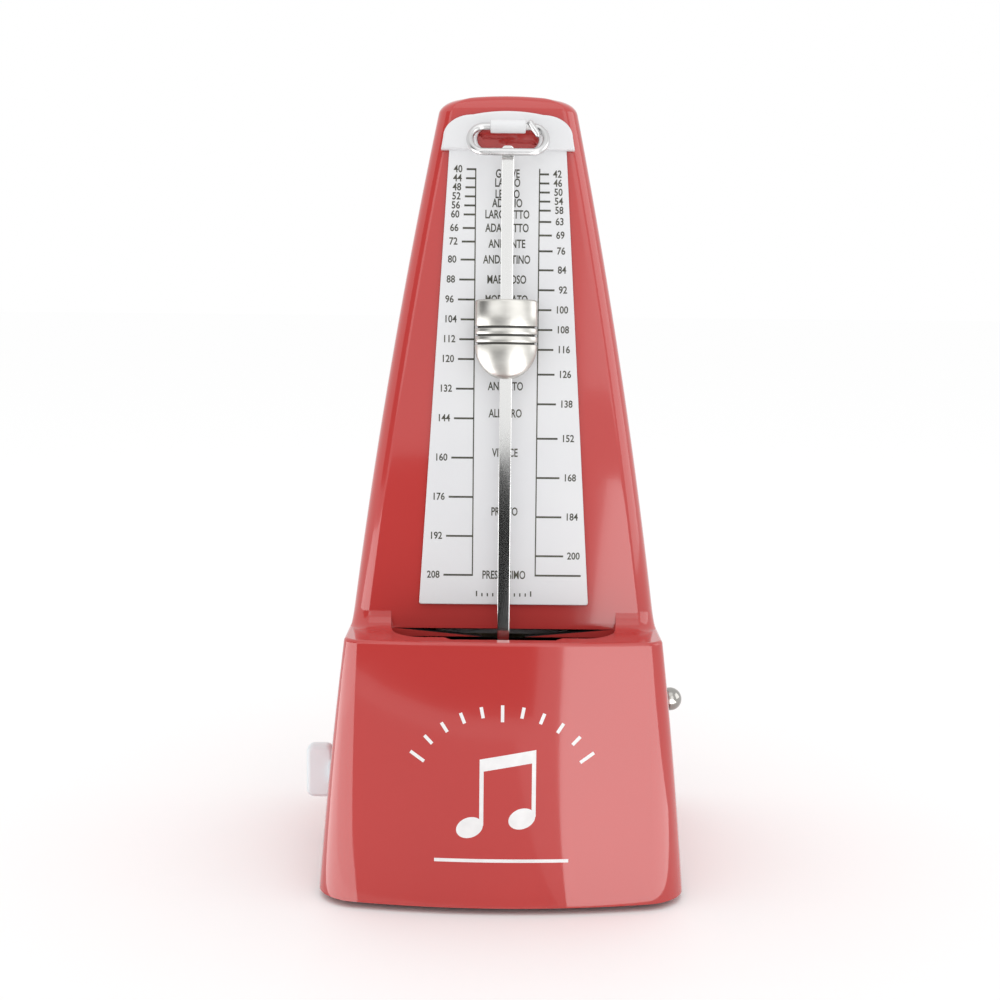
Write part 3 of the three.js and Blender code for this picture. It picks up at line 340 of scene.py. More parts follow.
# %% Case outline
base_low, base_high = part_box("housing")
HEIGHT = base_high[2]
FOOT_HEIGHT = 2 * MM
WALL = 2.5 * MM
BASE_HALF = base_high[0]
TOP_HALF = 18.5 * MM
BASE_FRONT = -base_low[1]
TOP_FRONT = 24.6 * MM
BASE_BACK = base_high[1]
TOP_BACK = 18.5 * MM
SWELL = 3.46 * MM
LEDGE = 73.5 * MM
SEAT_STEP = 0.35 * MM
DIAL_FRONT = 27.5 * MM
TILT = math.radians(4)
DIAL = Matrix.Translation((0, -DIAL_FRONT, LEDGE)) @ Matrix.Rotation(-TILT, 4, "X")
CROWN = 4 * MM
CROWN_INSET = 6 * MM
CROWN_RISE = 0.8 * MM
CROWN_ARCH = 0.7 * MM
COVE = 5 * MM


def taper(base, top, z):
    t = (z - FOOT_HEIGHT) / (HEIGHT - FOOT_HEIGHT)
    return lerp(base, top, t) + SWELL * 4 * t * (1 - t)


def dial_y(z):
    return -DIAL_FRONT + math.tan(TILT) * (z - LEDGE)


def arc_points(cx, cy, rx, ry, start, end, count):
    angles = [math.radians(lerp(start, end, i / count)) for i in range(count + 1)]
    return [(cx + rx * math.cos(a), cy + ry * math.sin(a)) for a in angles]


def mirror_outline(right):
    return right + [(-x, y) for x, y in reversed(right[1:-1])]


def lower_outline(z, inset=0.0):
    t = (z - FOOT_HEIGHT) / (LEDGE - FOOT_HEIGHT)
    half = taper(BASE_HALF, TOP_HALF, z) - inset
    front = -taper(BASE_FRONT, TOP_FRONT, z) + inset
    back = taper(BASE_BACK, TOP_BACK, z) - inset
    corner = max(1 * MM, lerp(10, 4.5, t) * MM - inset)
    bow = lerp(6, 2.2, t) * MM
    right = [((half - corner) * i / 24, front) for i in range(24)]
    right += arc_points(half - corner, front + corner, corner, corner, -90, 0, 14)
    right += [(half, lerp(front + corner, back - corner, i / 12)) for i in range(1, 12)]
    right += arc_points(half - corner, back - corner, corner, corner, 0, 90, 14)
    right += [((half - corner) * (1 - i / 24), back) for i in range(1, 25)]
    bowed = [(x, y + bow * (x / half) ** 2 * max(0, y / front)) for x, y in right]
    return mirror_outline(bowed)


# The band beside the dial turns away at a crease: a small fillet, then a slow arc.
CREASE_FILLET = 2.2 * MM
CREASE_TURN = 30


def crease_corner(half, front, width):
    start, end = math.radians(CREASE_TURN), math.radians(87)
    fillet_wide = CREASE_FILLET * math.sin(start)
    radius = (width - fillet_wide) / (math.sin(end) - math.sin(start))
    x0 = half - width
    points = []
    for i in range(5):
        a = start * i / 4
        points.append((x0 + CREASE_FILLET * math.sin(a), front + CREASE_FILLET * (1 - math.cos(a))))
    x1, y1 = points[-1]
    for i in range(1, 13):
        a = lerp(start, end, i / 12)
        points.append((
            x1 + radius * (math.sin(a) - math.sin(start)),
            y1 + radius * (math.cos(start) - math.cos(a)),
        ))
    return points


def upper_outline(z, inset=0.0, forward=0.0):
    crown = max(0.0, z - (HEIGHT - CROWN_RISE - CROWN)) / CROWN
    drawn = 1 - math.sqrt(max(0.0, 1 - crown ** 2))
    t = (z - LEDGE) / (HEIGHT - LEDGE)
    half = taper(BASE_HALF, TOP_HALF, z) - SEAT_STEP - inset - CROWN_INSET * drawn
    front = dial_y(z) + inset + CROWN * drawn * 0.75 - forward
    back = taper(BASE_BACK, TOP_BACK, z) - SEAT_STEP - inset - CROWN_INSET * drawn
    width = lerp(5.2, 4.0, t) * MM
    corner = lerp(5, 3.5, t) * MM
    right = [((half - width) * i / 24, front) for i in range(24)]
    right += crease_corner(half, front, width)
    side_start = right[-1][1]
    right += [(half, lerp(side_start, back - corner, i / 12)) for i in range(1, 12)]
    right += arc_points(half - corner, back - corner, corner, corner, 0, 90, 12)
    right += [((half - corner) * (1 - i / 24), back) for i in range(1, 25)]
    return mirror_outline(right)


def coved_outline(z, inset=0.0):
    """The upper outline, its front flaring out in a quarter circle where it meets the ledge."""
    down = min(COVE, max(0.0, LEDGE + COVE - z))
    return upper_outline(z, inset, COVE - math.sqrt(COVE ** 2 - down ** 2))


def crown_lift(x, z):
    """The top is slightly arched from side to side."""
    crown = max(0.0, z - (HEIGHT - CROWN_RISE - CROWN)) / CROWN
    return CROWN_ARCH * crown ** 2 * (1 - min(1, abs(x) / (TOP_HALF - CROWN_INSET)) ** 2)


print("case:", round(2 * BASE_HALF / MM, 1), "x", round((BASE_FRONT + BASE_BACK) / MM, 1), "mm")


# %% Case tower
def stack(loops):
    """A closed solid through equal loops of points: the first is capped, then extruded through the rest."""
    bm = bmesh.new()
    verts = [bm.verts.new(point) for point in loops[0]]
    edges = [bm.edges.new(pair) for pair in zip(verts, verts[1:] + verts[:1])]
    bmesh.ops.contextual_create(bm, geom=edges)
    for loop in loops[1:]:
        grown = bmesh.ops.extrude_edge_only(bm, edges=edges)["geom"]
        edges = [e for e in grown if isinstance(e, bmesh.types.BMEdge)]
        for vert, point in zip([v for v in grown if isinstance(v, bmesh.types.BMVert)], loop):
            vert.co = point
    bmesh.ops.contextual_create(bm, geom=edges)
    bmesh.ops.recalc_face_normals(bm, faces=bm.faces)
    return bm


def crown_loops(loop, rise):
    """Smaller and smaller copies of the last loop, which dome the top."""
    middle = sum(loop, Vector()) / len(loop)
    loops = []
    for step, share in enumerate((0.8, 0.56, 0.33, 0.17), 1):
        lift = Vector((0, 0, rise * (1 - (1 - step / 4) ** 2)))
        loops.append([middle + (point - middle) * share + lift for point in loop])
    return loops


def tower(outline, rings, cap_rise=0.0):
    """rings are (height, inset) pairs, each giving one loop of the wall."""
    loops = [[Vector((x, y, z + crown_lift(x, z))) for x, y in outline(z, inset)] for z, inset in rings]
    return stack(loops + crown_loops(loops[-1], cap_rise))


def steps(low, high, count):
    return [lerp(low, high, i / count) for i in range(count + 1)]


EDGE_ROUND = 0.9 * MM
SHOULDER = HEIGHT - CROWN_RISE - CROWN


def rounded_rings(low, high, count):
    """Heights up to a rounded top edge."""
    rings = [(z, 0.0) for z in steps(low, high - EDGE_ROUND, count)]
    for i in range(1, 6):
        a = math.radians(90 * i / 5)
        rings.append((high - EDGE_ROUND * (1 - math.sin(a)), EDGE_ROUND * (1 - math.cos(a))))
    return rings


lower_rings = rounded_rings(FOOT_HEIGHT, LEDGE, 16)
upper_rings = [(LEDGE - 3 * MM, 0.0)]
upper_rings += [(LEDGE + COVE * (1 - math.cos(math.radians(a))), 0.0) for a in range(0, 91, 6)]
upper_rings += [(z, 0.0) for z in steps(LEDGE + COVE, SHOULDER, 28)[1:]]
upper_rings += [(SHOULDER + CROWN * math.sin(math.radians(a)), 0.0) for a in range(9, 91, 9)]
print("rings:", len(lower_rings), "+", len(upper_rings))

# %% [markdown]
# Inside and outside are two towers each: the lower body and the set-back upper body. A boolean
# joins them, and hollows the case the same way a moulding tool would: with a smaller core. The slot
# for the pendulum, the hollow fillet below the dial and the holes for key, knob and cover follow.

# %% Slot and holes
SLOT_HALF = 30.8 * MM
SLOT_STRAIGHT = 22 * MM
SLOT_DEEP = 11.6 * MM
NOTCH_HALF = 15.6 * MM
NOTCH_DEEP = 14.5 * MM
UNDERCUT = 3 * MM


def prism(points, start, end, place):
    """A closed outline pushed from start to end, with place(u, v, w) giving each vertex its spot."""
    bm = bmesh.new()
    loop = [bm.verts.new(place(u, v, start)) for u, v in points]
    face = bmesh.ops.contextual_create(bm, geom=loop)["faces"][0]
    pushed = bmesh.ops.extrude_face_region(bm, geom=[face])["geom"]
    for vert, (u, v) in zip([g for g in pushed if isinstance(g, bmesh.types.BMVert)], points):
        vert.co = place(u, v, end)
    bmesh.ops.recalc_face_normals(bm, faces=bm.faces)
    return bm


def slot_outline(grow, back):
    end = SLOT_HALF - SLOT_STRAIGHT
    left = arc_points(-SLOT_STRAIGHT, back, end + grow, SLOT_DEEP + grow, 180, 270, 12)
    notch = [(-NOTCH_HALF - grow, back - SLOT_DEEP - grow), (-NOTCH_HALF + 1.5 * MM, back - NOTCH_DEEP - grow / 2)]
    half = left + notch
    return half + [(-x, y) for x, y in reversed(half)]


def slot_tool():
    """The slot, with its upper edge eased by a small flare."""
    flat, flare = dial_y(LEDGE), 0.4 * MM
    rows = [(LEDGE - 6 * MM, 0.0, flat), (LEDGE - 0.4 * MM, 0.0, flat), (LEDGE + 0.05 * MM, flare, flat)]
    rows.append((LEDGE + 9 * MM, flare, dial_y(LEDGE + 9 * MM)))
    return tool_from(stack([[(x, y, z) for x, y in slot_outline(grow, back)] for z, grow, back in rows]))


def undercut_tool():
    """Hollows the wall behind the slot, so that the slot looks into the case; the faces it cuts get the near-black
    painted shade.
    """
    back = dial_y(LEDGE) - 0.5 * MM
    points = [(-SLOT_HALF, back), (SLOT_HALF, back), (SLOT_HALF, back + UNDERCUT), (-SLOT_HALF, back + UNDERCUT)]
    return tool_from(prism(points, LEDGE - 6 * MM, LEDGE - 0.15 * MM, lambda u, v, w: (u, v, w)), finish=1)


def cylinder_along(axis, radius, start, end, centre, segments=48):
    """A plain round tool along X, Y or Z."""
    bm = bmesh.new()
    bmesh.ops.create_cone(bm, cap_ends=True, segments=segments, radius1=radius, radius2=radius, depth=end - start)
    turn = {"X": Matrix.Rotation(math.pi / 2, 4, "Y"), "Y": Matrix.Rotation(-math.pi / 2, 4, "X"), "Z": Matrix()}[axis]
    middle = {"X": Vector((1, 0, 0)), "Y": Vector((0, 1, 0)), "Z": Vector((0, 0, 1))}[axis] * (start + end) / 2
    bmesh.ops.transform(bm, matrix=Matrix.Translation(Vector(centre) + middle) @ turn, verts=bm.verts)
    return bm


def centre_of(node):
    low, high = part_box(node)
    return [(a + b) / 2 for a, b in zip(low, high)]


KEY_CENTRE = centre_of("winding_key")
KNOB_CENTRE = centre_of("selector_knob")
COVER_LOW, COVER_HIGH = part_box("rear_cover")


def rounded_rect(x0, x1, y0, y1, r, count=5):
    points = arc_points(x1 - r, y0 + r, r, r, -90, 0, count)
    points += arc_points(x1 - r, y1 - r, r, r, 0, 90, count)
    points += arc_points(x0 + r, y1 - r, r, r, 90, 180, count)
    return points + arc_points(x0 + r, y0 + r, r, r, 180, 270, count)


def cover_prism(grow, start):
    edge = 0.3 * MM + grow
    points = rounded_rect(COVER_LOW[0] - edge, COVER_HIGH[0] + edge, COVER_LOW[2] - edge, COVER_HIGH[2] + edge, 3 * MM)
    return tool_from(prism(points, start, BASE_BACK + 20 * MM, lambda u, v, w: (u, w, v)))


def window_pocket():
    """A shallow recess behind the window in the dial, square to the dial."""
    points = rounded_rect(-8.2 * MM, 8.2 * MM, 131.4 * MM, 136.8 * MM, 2.6 * MM)
    return tool_from(prism(points, -1 * MM, 1.6 * MM, lambda u, v, w: DIAL @ Vector((u, w, v))))


def make_case():
    case = object_from(tower(lower_outline, lower_rings), "case_shell", red_case, "case")
    upper = tool_from(tower(coved_outline, upper_rings, CROWN_RISE - CROWN_ARCH))
    boolean(case, [upper], "UNION")
    core_rings = [(z, WALL) for z in steps(FOOT_HEIGHT - 1 * MM, LEDGE - WALL, 10)]
    # The cores give the inside faces the near-black painted shade.
    lower_core = tool_from(tower(lower_outline, core_rings), finish=1)
    upper_rows = [(z, WALL) for z in steps(LEDGE - 6 * MM, SHOULDER, 14)]
    upper_core = tool_from(tower(upper_outline, upper_rows), finish=1)
    key_hole = tool_from(cylinder_along("X", 5 * MM, -BASE_HALF - 0.01, -0.03, (0, KEY_CENTRE[1], KEY_CENTRE[2])))
    knob_hole = tool_from(cylinder_along("X", 2.2 * MM, 0.03, BASE_HALF + 0.01, (0, KNOB_CENTRE[1], KNOB_CENTRE[2])))
    boolean(case, [lower_core, upper_core, slot_tool(), undercut_tool()], "DIFFERENCE")
    boolean(case, [key_hole, knob_hole, cover_prism(0, 0.02), window_pocket()], "DIFFERENCE")
    bm = bmesh.new()
    bm.from_mesh(case.data)
    bmesh.ops.remove_doubles(bm, verts=bm.verts, dist=0.000002)
    for face in bm.faces:
        face.smooth = True
    for edge in bm.edges:
        edge.smooth = len(edge.link_faces) == 2 and edge.calc_face_angle(0) < math.radians(24)
    bm.to_mesh(case.data)
    bm.free()
    # Second material: the near-black painted shade of the inside.
    case.data.materials.append(inside_painted_shade)
    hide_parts("housing")
    return even_shading(case)


case = make_case()
print("case faces:", len(case.data.polygons))

# %% [markdown]
# ## Shapes that several pieces share
# Turned parts come from a spin: half of the outline goes once round the axis, and the spin merges
# its own seam. Pressed and moulded parts come from a slab: an outline is extruded in small steps
# that follow a quarter circle at each rim, so every visible edge has a real radius.

# %% Turned and moulded shapes
ALONG_X = Matrix.Rotation(math.pi / 2, 4, "Y")
ALONG_Y = Matrix.Rotation(-math.pi / 2, 4, "X")


def spun(profile, turns=56):
    """Turns a profile of (radius, height) points, in millimetres, once round the Z axis."""
    bm = bmesh.new()
    verts = [bm.verts.new((r * MM, 0, h * MM)) for r, h in profile]
    edges = [bm.edges.new(pair) for pair in zip(verts, verts[1:])]
    bmesh.ops.spin(bm, geom=verts + edges, cent=(0, 0, 0), axis=(0, 0, 1),
                   angle=2 * math.pi, steps=turns, use_merge=True)
    bmesh.ops.remove_doubles(bm, verts=bm.verts, dist=1e-7)
    bmesh.ops.recalc_face_normals(bm, faces=bm.faces)
    return bm


def rim_rows(low, high, round_low, round_high, count=4):
    """(depth, inset) pairs that round both rims of a slab."""
    rows = []
    for i in range(count + 1 if round_low else 1):
        a = math.pi / 2 * (i / count if round_low else 1)
        rows.append((low + round_low * (1 - math.cos(a)), round_low * (1 - math.sin(a))))
    for i in range(count + 1 if round_high else 1):
        a = math.pi / 2 * (1 - i / count if round_high else 1)
        rows.append((high - round_high * (1 - math.cos(a)), round_high * (1 - math.sin(a))))
    return rows


def layers(outline, rows, place=None):
    """outline(inset) gives the rim in millimetres. place turns (u, v, depth) into (x, y, z)."""
    place = place or (lambda u, v, w: (u, w, v))
    return stack([[Vector(place(u, v, w)) * MM for u, v in outline(inset)] for w, inset in rows])


def slab(outline, low, high, round_low=0.0, round_high=0.0, place=None, count=4):
    return layers(outline, rim_rows(low, high, round_low, round_high, count), place)


def moved(bm, matrix):
    bmesh.ops.transform(bm, matrix=matrix, verts=bm.verts)
    return bm


def rect_rim(x0, x1, z0, z1, r, count=6):
    """An outline that keeps round corners when it is inset."""
    def rim(inset):
        return rounded_rect(x0 + inset, x1 - inset, z0 + inset, z1 - inset, max(0.05, r - inset), count)
    return rim


def block(x0, x1, y0, y1, z0, z1):
    bm = bmesh.new()
    bmesh.ops.create_cube(bm, size=1)
    size = Matrix.Diagonal((x1 - x0, y1 - y0, z1 - z0, 1))
    middle = Matrix.Translation(((x0 + x1) / 2, (y0 + y1) / 2, (z0 + z1) / 2))
    return moved(bm, Matrix.Scale(MM, 4) @ middle @ size)


def rod_tool(axis, radius, start, end, centre=(0, 0, 0)):
    return cylinder_along(axis, radius * MM, start * MM, end * MM, [c * MM for c in centre])


print("dial leans back", round(math.degrees(TILT), 1), "degrees")

# %% [markdown]
# ## Rear cover
# The back of the lower case is closed by a screwed panel with sound slots for the bell. The panel
# is cut out of the same wall as the case, so it carries on the same curve with a thin gap around it.

# %% Rear cover and its frame
SOUND_SLOTS = [28, 32.4, 36.8, 41.2, 45.6, 50]
SCREW_SPOTS = [centre_of(f"rear_cover_screw_{i}") for i in range(1, 5)]


def wall_between(outer, inner):
    """The lower wall of the case between two insets."""
    rings = [(z, outer * MM) for z in steps(FOOT_HEIGHT, LEDGE, 16)]
    core = [(z, inner * MM) for z in steps(FOOT_HEIGHT - MM, LEDGE + MM, 18)]
    wall = object_from(tower(lower_outline, rings), "wall", red_case, None)
    # The core gives the inside faces the near-black painted shade.
    boolean(wall, [tool_from(tower(lower_outline, core), finish=1)], "DIFFERENCE")
    wall.data.materials.append(inside_painted_shade)
    return wall


def keep_mesh(piece):
    """Takes a worked object apart again: its mesh goes on, the object goes away."""
    bm = bmesh.new()
    bm.from_mesh(piece.data)
    bpy.data.objects.remove(piece)
    bmesh.ops.remove_doubles(bm, verts=bm.verts, dist=1e-6)
    return bm


def make_cover():
    panel = wall_between(0, WALL / MM)
    boolean(panel, [cover_prism(-0.6 * MM, 0.02)], "INTERSECT")
    slots = [tool_from(slab(rect_rim(-14, 14, z - 1, z + 1, 0.95), 20, 80)) for z in SOUND_SLOTS]
    holes = [tool_from(rod_tool("Y", 1.5, 20, 80, (x / MM, 0, z / MM))) for x, y, z in SCREW_SPOTS]
    boolean(panel, slots + holes, "DIFFERENCE")
    cover = object_from(keep_mesh(panel), "cover_panel", red_case, "case")
    # Second material: the near-black painted shade of the inside.
    cover.data.materials.append(inside_painted_shade)
    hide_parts("rear_cover")
    return even_shading(cover)


def make_cover_frame():
    frame_wall = wall_between(WALL / MM - 0.1, WALL / MM + 2.5)
    boolean(frame_wall, [cover_prism(3.7 * MM, 0.02)], "INTERSECT")
    boolean(frame_wall, [cover_prism(-4.3 * MM, 0.01)], "DIFFERENCE")
    holes = [tool_from(rod_tool("Y", 1.5, 20, 80, (x / MM, 0, z / MM))) for x, y, z in SCREW_SPOTS]
    boolean(frame_wall, holes, "DIFFERENCE")
    rim = object_from(keep_mesh(frame_wall), "cover_frame", red_case, "case")
    # Second material: the near-black painted shade of the inside.
    rim.data.materials.append(inside_painted_shade)
    return rim


print("cover faces:", len(make_cover().data.polygons), "frame:", len(make_cover_frame().data.polygons))

# %% [markdown]
# ## Base, feet and screws
# Below, a black panel closes the case. Four rubber pads carry the weight, and pan head screws with a
# cross recess hold the panel. One screw shape serves all, made of a spin with two wedges cut out.

# %% Base panel and feet
def base_rim(inset):
    ring = lower_outline(4 * MM, (2.8 + inset) * MM)
    return [(x / MM, y / MM) for x, y in ring]


def make_base():
    panel = object_from(slab(base_rim, 3, 5, 0.5, 0.3, lambda u, v, w: (u, v, w)), "base_blank",
                        black_base, None)
    spots = [centre_of(f"base_screw_{i}") for i in range(1, 5)]
    spots += [centre_of(f"plate_screw_{side}_{i}") for side in ("left", "right") for i in (1, 2)]
    holes = [tool_from(rod_tool("Z", 1.5, 0, 9, (x / MM, y / MM, 0))) for x, y, z in spots]
    holes.append(tool_from(rod_tool("Z", 1.5, 0, 9, (0, 0, 0))))
    boolean(panel, holes, "DIFFERENCE")
    rebate = slab(lambda inset: [(0.72 * x, 0.72 * y) for x, y in base_rim(inset)], 2, 3.4, 0, 0.3,
                  lambda u, v, w: (u, v, w))
    boolean(panel, [tool_from(rebate)], "DIFFERENCE")
    done = object_from(keep_mesh(panel), "base_panel", black_base, "case")
    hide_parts("base_plate")
    return even_shading(done)


FOOT_PROFILE = [(0, 0.5), (2.2, 0.5), (2.5, 0.35), (2.7, 0), (4.2, 0), (4.6, 0.12), (4.88, 0.4), (5, 0.8),
                (5, 2.5), (4.8, 2.7), (0, 2.7)]


def make_foot(number):
    x, y, z = centre_of(f"foot_{number}")
    bm = moved(spun(FOOT_PROFILE), Matrix.Translation((x, y, 0)))
    foot = object_from(bm, f"foot_pad_{number}", rubber, "case", sharp=50)
    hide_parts(f"foot_{number}")
    return foot


make_base()
print("feet:", [make_foot(i).name for i in range(1, 5)])

# %% Screws
SCREW_PROFILE = [(0, -1.4), (0.9, -1.36), (1.7, -1.2), (2.3, -0.85), (2.58, -0.4), (2.6, -0.1), (2.5, 0),
                 (1.2, 0), (1.2, 0.5)]


def screw_profile(long):
    """The head, then a shank whose rings widen and narrow as a thread does."""
    thread = []
    for i in range(int((long - 1.2) / 0.6)):
        thread += [(1.2, 0.6 + i * 0.6), (0.95, 0.9 + i * 0.6)]
    return SCREW_PROFILE + thread + [(0.9, long - 0.5), (0, long)]


def make_screw(node, place, long):
    bm = moved(spun(screw_profile(long), 28), place)
    screw = object_from(bm, node + "_cross", movement_steel, "case", sharp=40)
    wings = [moved(block(-1.5, 1.5, -0.28, 0.28, -2, -0.75), place @ Matrix.Rotation(a, 4, "Z"))
             for a in (math.pi / 4, 3 * math.pi / 4)]
    boolean(screw, [tool_from(wing) for wing in wings], "DIFFERENCE")
    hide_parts(node)
    return screw


def make_screws():
    made = []
    for i in range(1, 5):
        x, y, z = centre_of(f"rear_cover_screw_{i}")
        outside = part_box(f"rear_cover_screw_{i}")[1][1] - 1.4 * MM
        turn = Matrix.Translation((x, outside, z)) @ Matrix.Rotation(math.pi / 2, 4, "X")
        made.append(make_screw(f"rear_cover_screw_{i}", turn, 6))
        x, y, z = centre_of(f"base_screw_{i}")
        made.append(make_screw(f"base_screw_{i}", Matrix.Translation((x, y, 2.7 * MM)), 9))
    for node in [f"plate_screw_{side}_{i}" for side in ("left", "right") for i in (1, 2)]:
        x, y, z = centre_of(node)
        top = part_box(node)[1][2] - 1.4 * MM
        turn = Matrix.Translation((x, y, top)) @ Matrix.Rotation(math.pi, 4, "X")
        made.append(make_screw(node, turn, 2.5))
    return made


print("screws:", len(make_screws()))

# %% [markdown]
# ## Dial
# The dial is a thin white moulding: a tapering sheet, and an arched head with a slot-shaped window
# and a small barrel that carries the clip. It is modelled upright, as a slab in X and Z, and one
# matrix then leans it back against the case.

# %% Dial plate
DIAL_BOTTOM, DIAL_NECK = 6.7, 132
DIAL_WIDE, DIAL_NARROW = 23.4, 15.9
HEAD_LOW, HEAD_TOP, HEAD_HALF = 131, 141.5, 18.2
HEAD_ROUND_WIDE, HEAD_ROUND_TALL, HEAD_ARCH = 8, 6, 1
BARREL_OUT, BARREL_UP, BARREL_LONG, BARREL_RADIUS = 5.0, 136.7, 9.5, 1.75
WINDOW_ROWS = [(-2.31, -0.45), (-2.2, -0.3), (-2.0, -0.13), (-1.75, -0.03), (-1.5, 0), (1, 0)]


def dial_half(up):
    return lerp(DIAL_WIDE, DIAL_NARROW, (up - DIAL_BOTTOM) / (DIAL_NECK - DIAL_BOTTOM))


def sheet_rim(inset):
    low, high = dial_half(DIAL_BOTTOM) - inset, dial_half(DIAL_NECK) - inset
    corner = arc_points(low - 0.6, DIAL_BOTTOM + inset + 0.6, 0.6, 0.6, -90, 0, 4)
    left = [(-x, z) for x, z in reversed(corner)]
    return [(0, DIAL_BOTTOM + inset)] + corner + [(high, DIAL_NECK), (-high, DIAL_NECK)] + left


def head_rim(inset):
    """Straight sides, elliptical shoulders and a slightly arched top."""
    wide, tall = HEAD_ROUND_WIDE - inset * 0.5, HEAD_ROUND_TALL - inset * 0.5
    centre, shoulder = HEAD_HALF - 0.6 - HEAD_ROUND_WIDE, HEAD_TOP - HEAD_ARCH - HEAD_ROUND_TALL
    right = [(HEAD_HALF - inset, HEAD_LOW + inset)]
    right += arc_points(centre - inset * 0.5, shoulder - inset * 0.5, wide, tall, 0, 90, 14)
    edge_x, edge_up = right[-1]
    for i in range(1, 9):
        x = edge_x * (1 - i / 8)
        right.append((x, edge_up + HEAD_ARCH * (1 - (x / edge_x) ** 2)))
    return right + [(-x, z) for x, z in reversed(right[:-1])]


def barrel_profile():
    """A plain barrel with eased ends and a bore for the wire."""
    half, r, bore = BARREL_LONG / 2, BARREL_RADIUS, 1.11
    return [(bore, -half), (r - 0.35, -half), (r - 0.1, -half + 0.1), (r, -half + 0.4), (r, half - 0.4),
            (r - 0.1, half - 0.1), (r - 0.35, half), (bore, half), (bore, -half)]


def make_dial():
    dial = object_from(moved(slab(sheet_rim, -1.1, -0.3, 0.25), DIAL), "dial_face", white_dial, "case")
    head = slab(head_rim, -2.3, -0.3, 0.8, 0, count=6)
    web = block(-BARREL_LONG / 2 + 0.6, BARREL_LONG / 2 - 0.6, -BARREL_OUT, -1.3, 137.3, 138.2)
    barrel = moved(spun(barrel_profile(), 40), Matrix.Translation((0, -BARREL_OUT * MM, BARREL_UP * MM)) @ ALONG_X)
    boolean(dial, [tool_from(moved(bm, DIAL)) for bm in (head, web, barrel)], "UNION")
    window = layers(rect_rim(-8.4, 8.4, 131.2, 137, 2.75, 10), WINDOW_ROWS)
    bore = moved(rod_tool("X", 1.1, -5.5, 5.5, (0, -BARREL_OUT, BARREL_UP)), DIAL)
    boolean(dial, [tool_from(moved(window, DIAL)), tool_from(bore)], "DIFFERENCE")
    done = object_from(keep_mesh(dial), "dial_plate_face", white_dial, "case", sharp=28)
    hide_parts("dial_plate")
    return even_shading(done)


dial = make_dial()
print("dial faces:", len(dial.data.polygons))

# %% [markdown]
# ## Tempo scale
# The scale is printed: two upright lines, a tick for each tempo, numbers at both edges and the tempo
# words between the lines. The slower the beat, the higher the weight sits. The words and numbers are
# text objects with a very small extrusion. Each becomes a mesh first, and is then put in its place.

# %% Printed scale
LEFT_TEMPI = [40, 44, 48, 52, 56, 60, 66, 72, 80, 88, 96, 104, 112, 120, 132, 144, 160, 176, 192, 208]
RIGHT_TEMPI = [42, 46, 50, 54, 58, 63, 69, 76, 84, 92, 100, 108, 116, 126, 138, 152, 168, 184, 200]
TEMPO_WORDS = {"GRAVE": 42, "LARGO": 46, "LENTO": 51, "ADAGIO": 55, "LARGHETTO": 60, "ADAGIETTO": 66,
               "ANDANTE": 73, "ANDANTINO": 80, "MAESTOSO": 88, "MODERATO": 96, "ALLEGRETTO": 112,
               "ANIMATO": 131, "ALLEGRO": 142, "VIVACE": 158, "PRESTO": 182, "PRESTISSIMO": 208}
LINE_OUT = 8.7
PRINT_FACE = -1.1
PRINT_THICK = 0.05


def height_of(tempo):
    return 101.5 - (0.6766 if tempo >= 80 else 0.61) * (tempo - 80)


def add_text(bm, words, size, narrow, x, up, align):
    """Text lies in X and Y, so it is stood up before it is moved to its place."""
    data = bpy.data.curves.new("words", "FONT")
    data.body = words
    data.align_x = align
    data.align_y = "CENTER"
    data.resolution_u = 3
    data.extrude = 0.01
    data.offset = 0.018
    text = bpy.data.objects.new("words", data)
    bpy.context.scene.collection.objects.link(text)
    mesh = bpy.data.meshes.new_from_object(text.evaluated_get(bpy.context.evaluated_depsgraph_get()))
    mesh.transform(Matrix.Translation((x * MM, (PRINT_FACE - 0.01) * MM, up * MM))
                   @ Matrix.Rotation(math.pi / 2, 4, "X") @ Matrix.Diagonal((size * narrow * MM, size * MM, 2 * MM, 1)))
    bm.from_mesh(mesh)
    bpy.data.objects.remove(text)
    bpy.data.curves.remove(data)
    bpy.data.meshes.remove(mesh)


def add_bar(bm, x0, x1, up0, up1):
    middle = Matrix.Translation(((x0 + x1) / 2 * MM, (PRINT_FACE - 0.01) * MM, (up0 + up1) / 2 * MM))
    size = Matrix.Diagonal((abs(x1 - x0) * MM, PRINT_THICK * MM, abs(up1 - up0) * MM, 1))
    bmesh.ops.create_cube(bm, size=1, matrix=middle @ size)


def add_tick(bm, tempo, side, numbered=True):
    up = height_of(tempo)
    label = dial_half(up) - 1.6
    width = 4.1 if tempo >= 100 else 3.0
    add_bar(bm, side * LINE_OUT, side * (label - width - 0.5 if numbered else label), up - 0.26, up + 0.26)
    if numbered:
        align, x = ("LEFT", -label) if side < 0 else ("RIGHT", label)
        add_text(bm, str(tempo), 2.75, 0.86, x, up, align)


def make_scale():
    bm = bmesh.new()
    for tempo in LEFT_TEMPI:
        add_tick(bm, tempo, -1)
    for tempo in RIGHT_TEMPI:
        add_tick(bm, tempo, 1)
    add_tick(bm, 208, 1, numbered=False)
    for side in (-1, 1):
        add_bar(bm, side * (LINE_OUT - 0.16), side * (LINE_OUT + 0.16), height_of(208) - 0.26, height_of(40) + 0.26)
    for word, tempo in TEMPO_WORDS.items():
        add_text(bm, word, 3.2, 0.66, 0, height_of(tempo), "CENTER")
    for i in range(-5, 6):
        tall = 1.5 if i % 5 == 0 else 0.9
        add_bar(bm, i * 1.5 - 0.18, i * 1.5 + 0.18, 9.0, 9.0 + tall)
    bmesh.ops.remove_doubles(bm, verts=bm.verts, dist=2e-7)
    return object_from(moved(bm, DIAL), "scale_print", scale_ink, "case")


scale = make_scale()
print("scale faces:", len(scale.data.polygons))

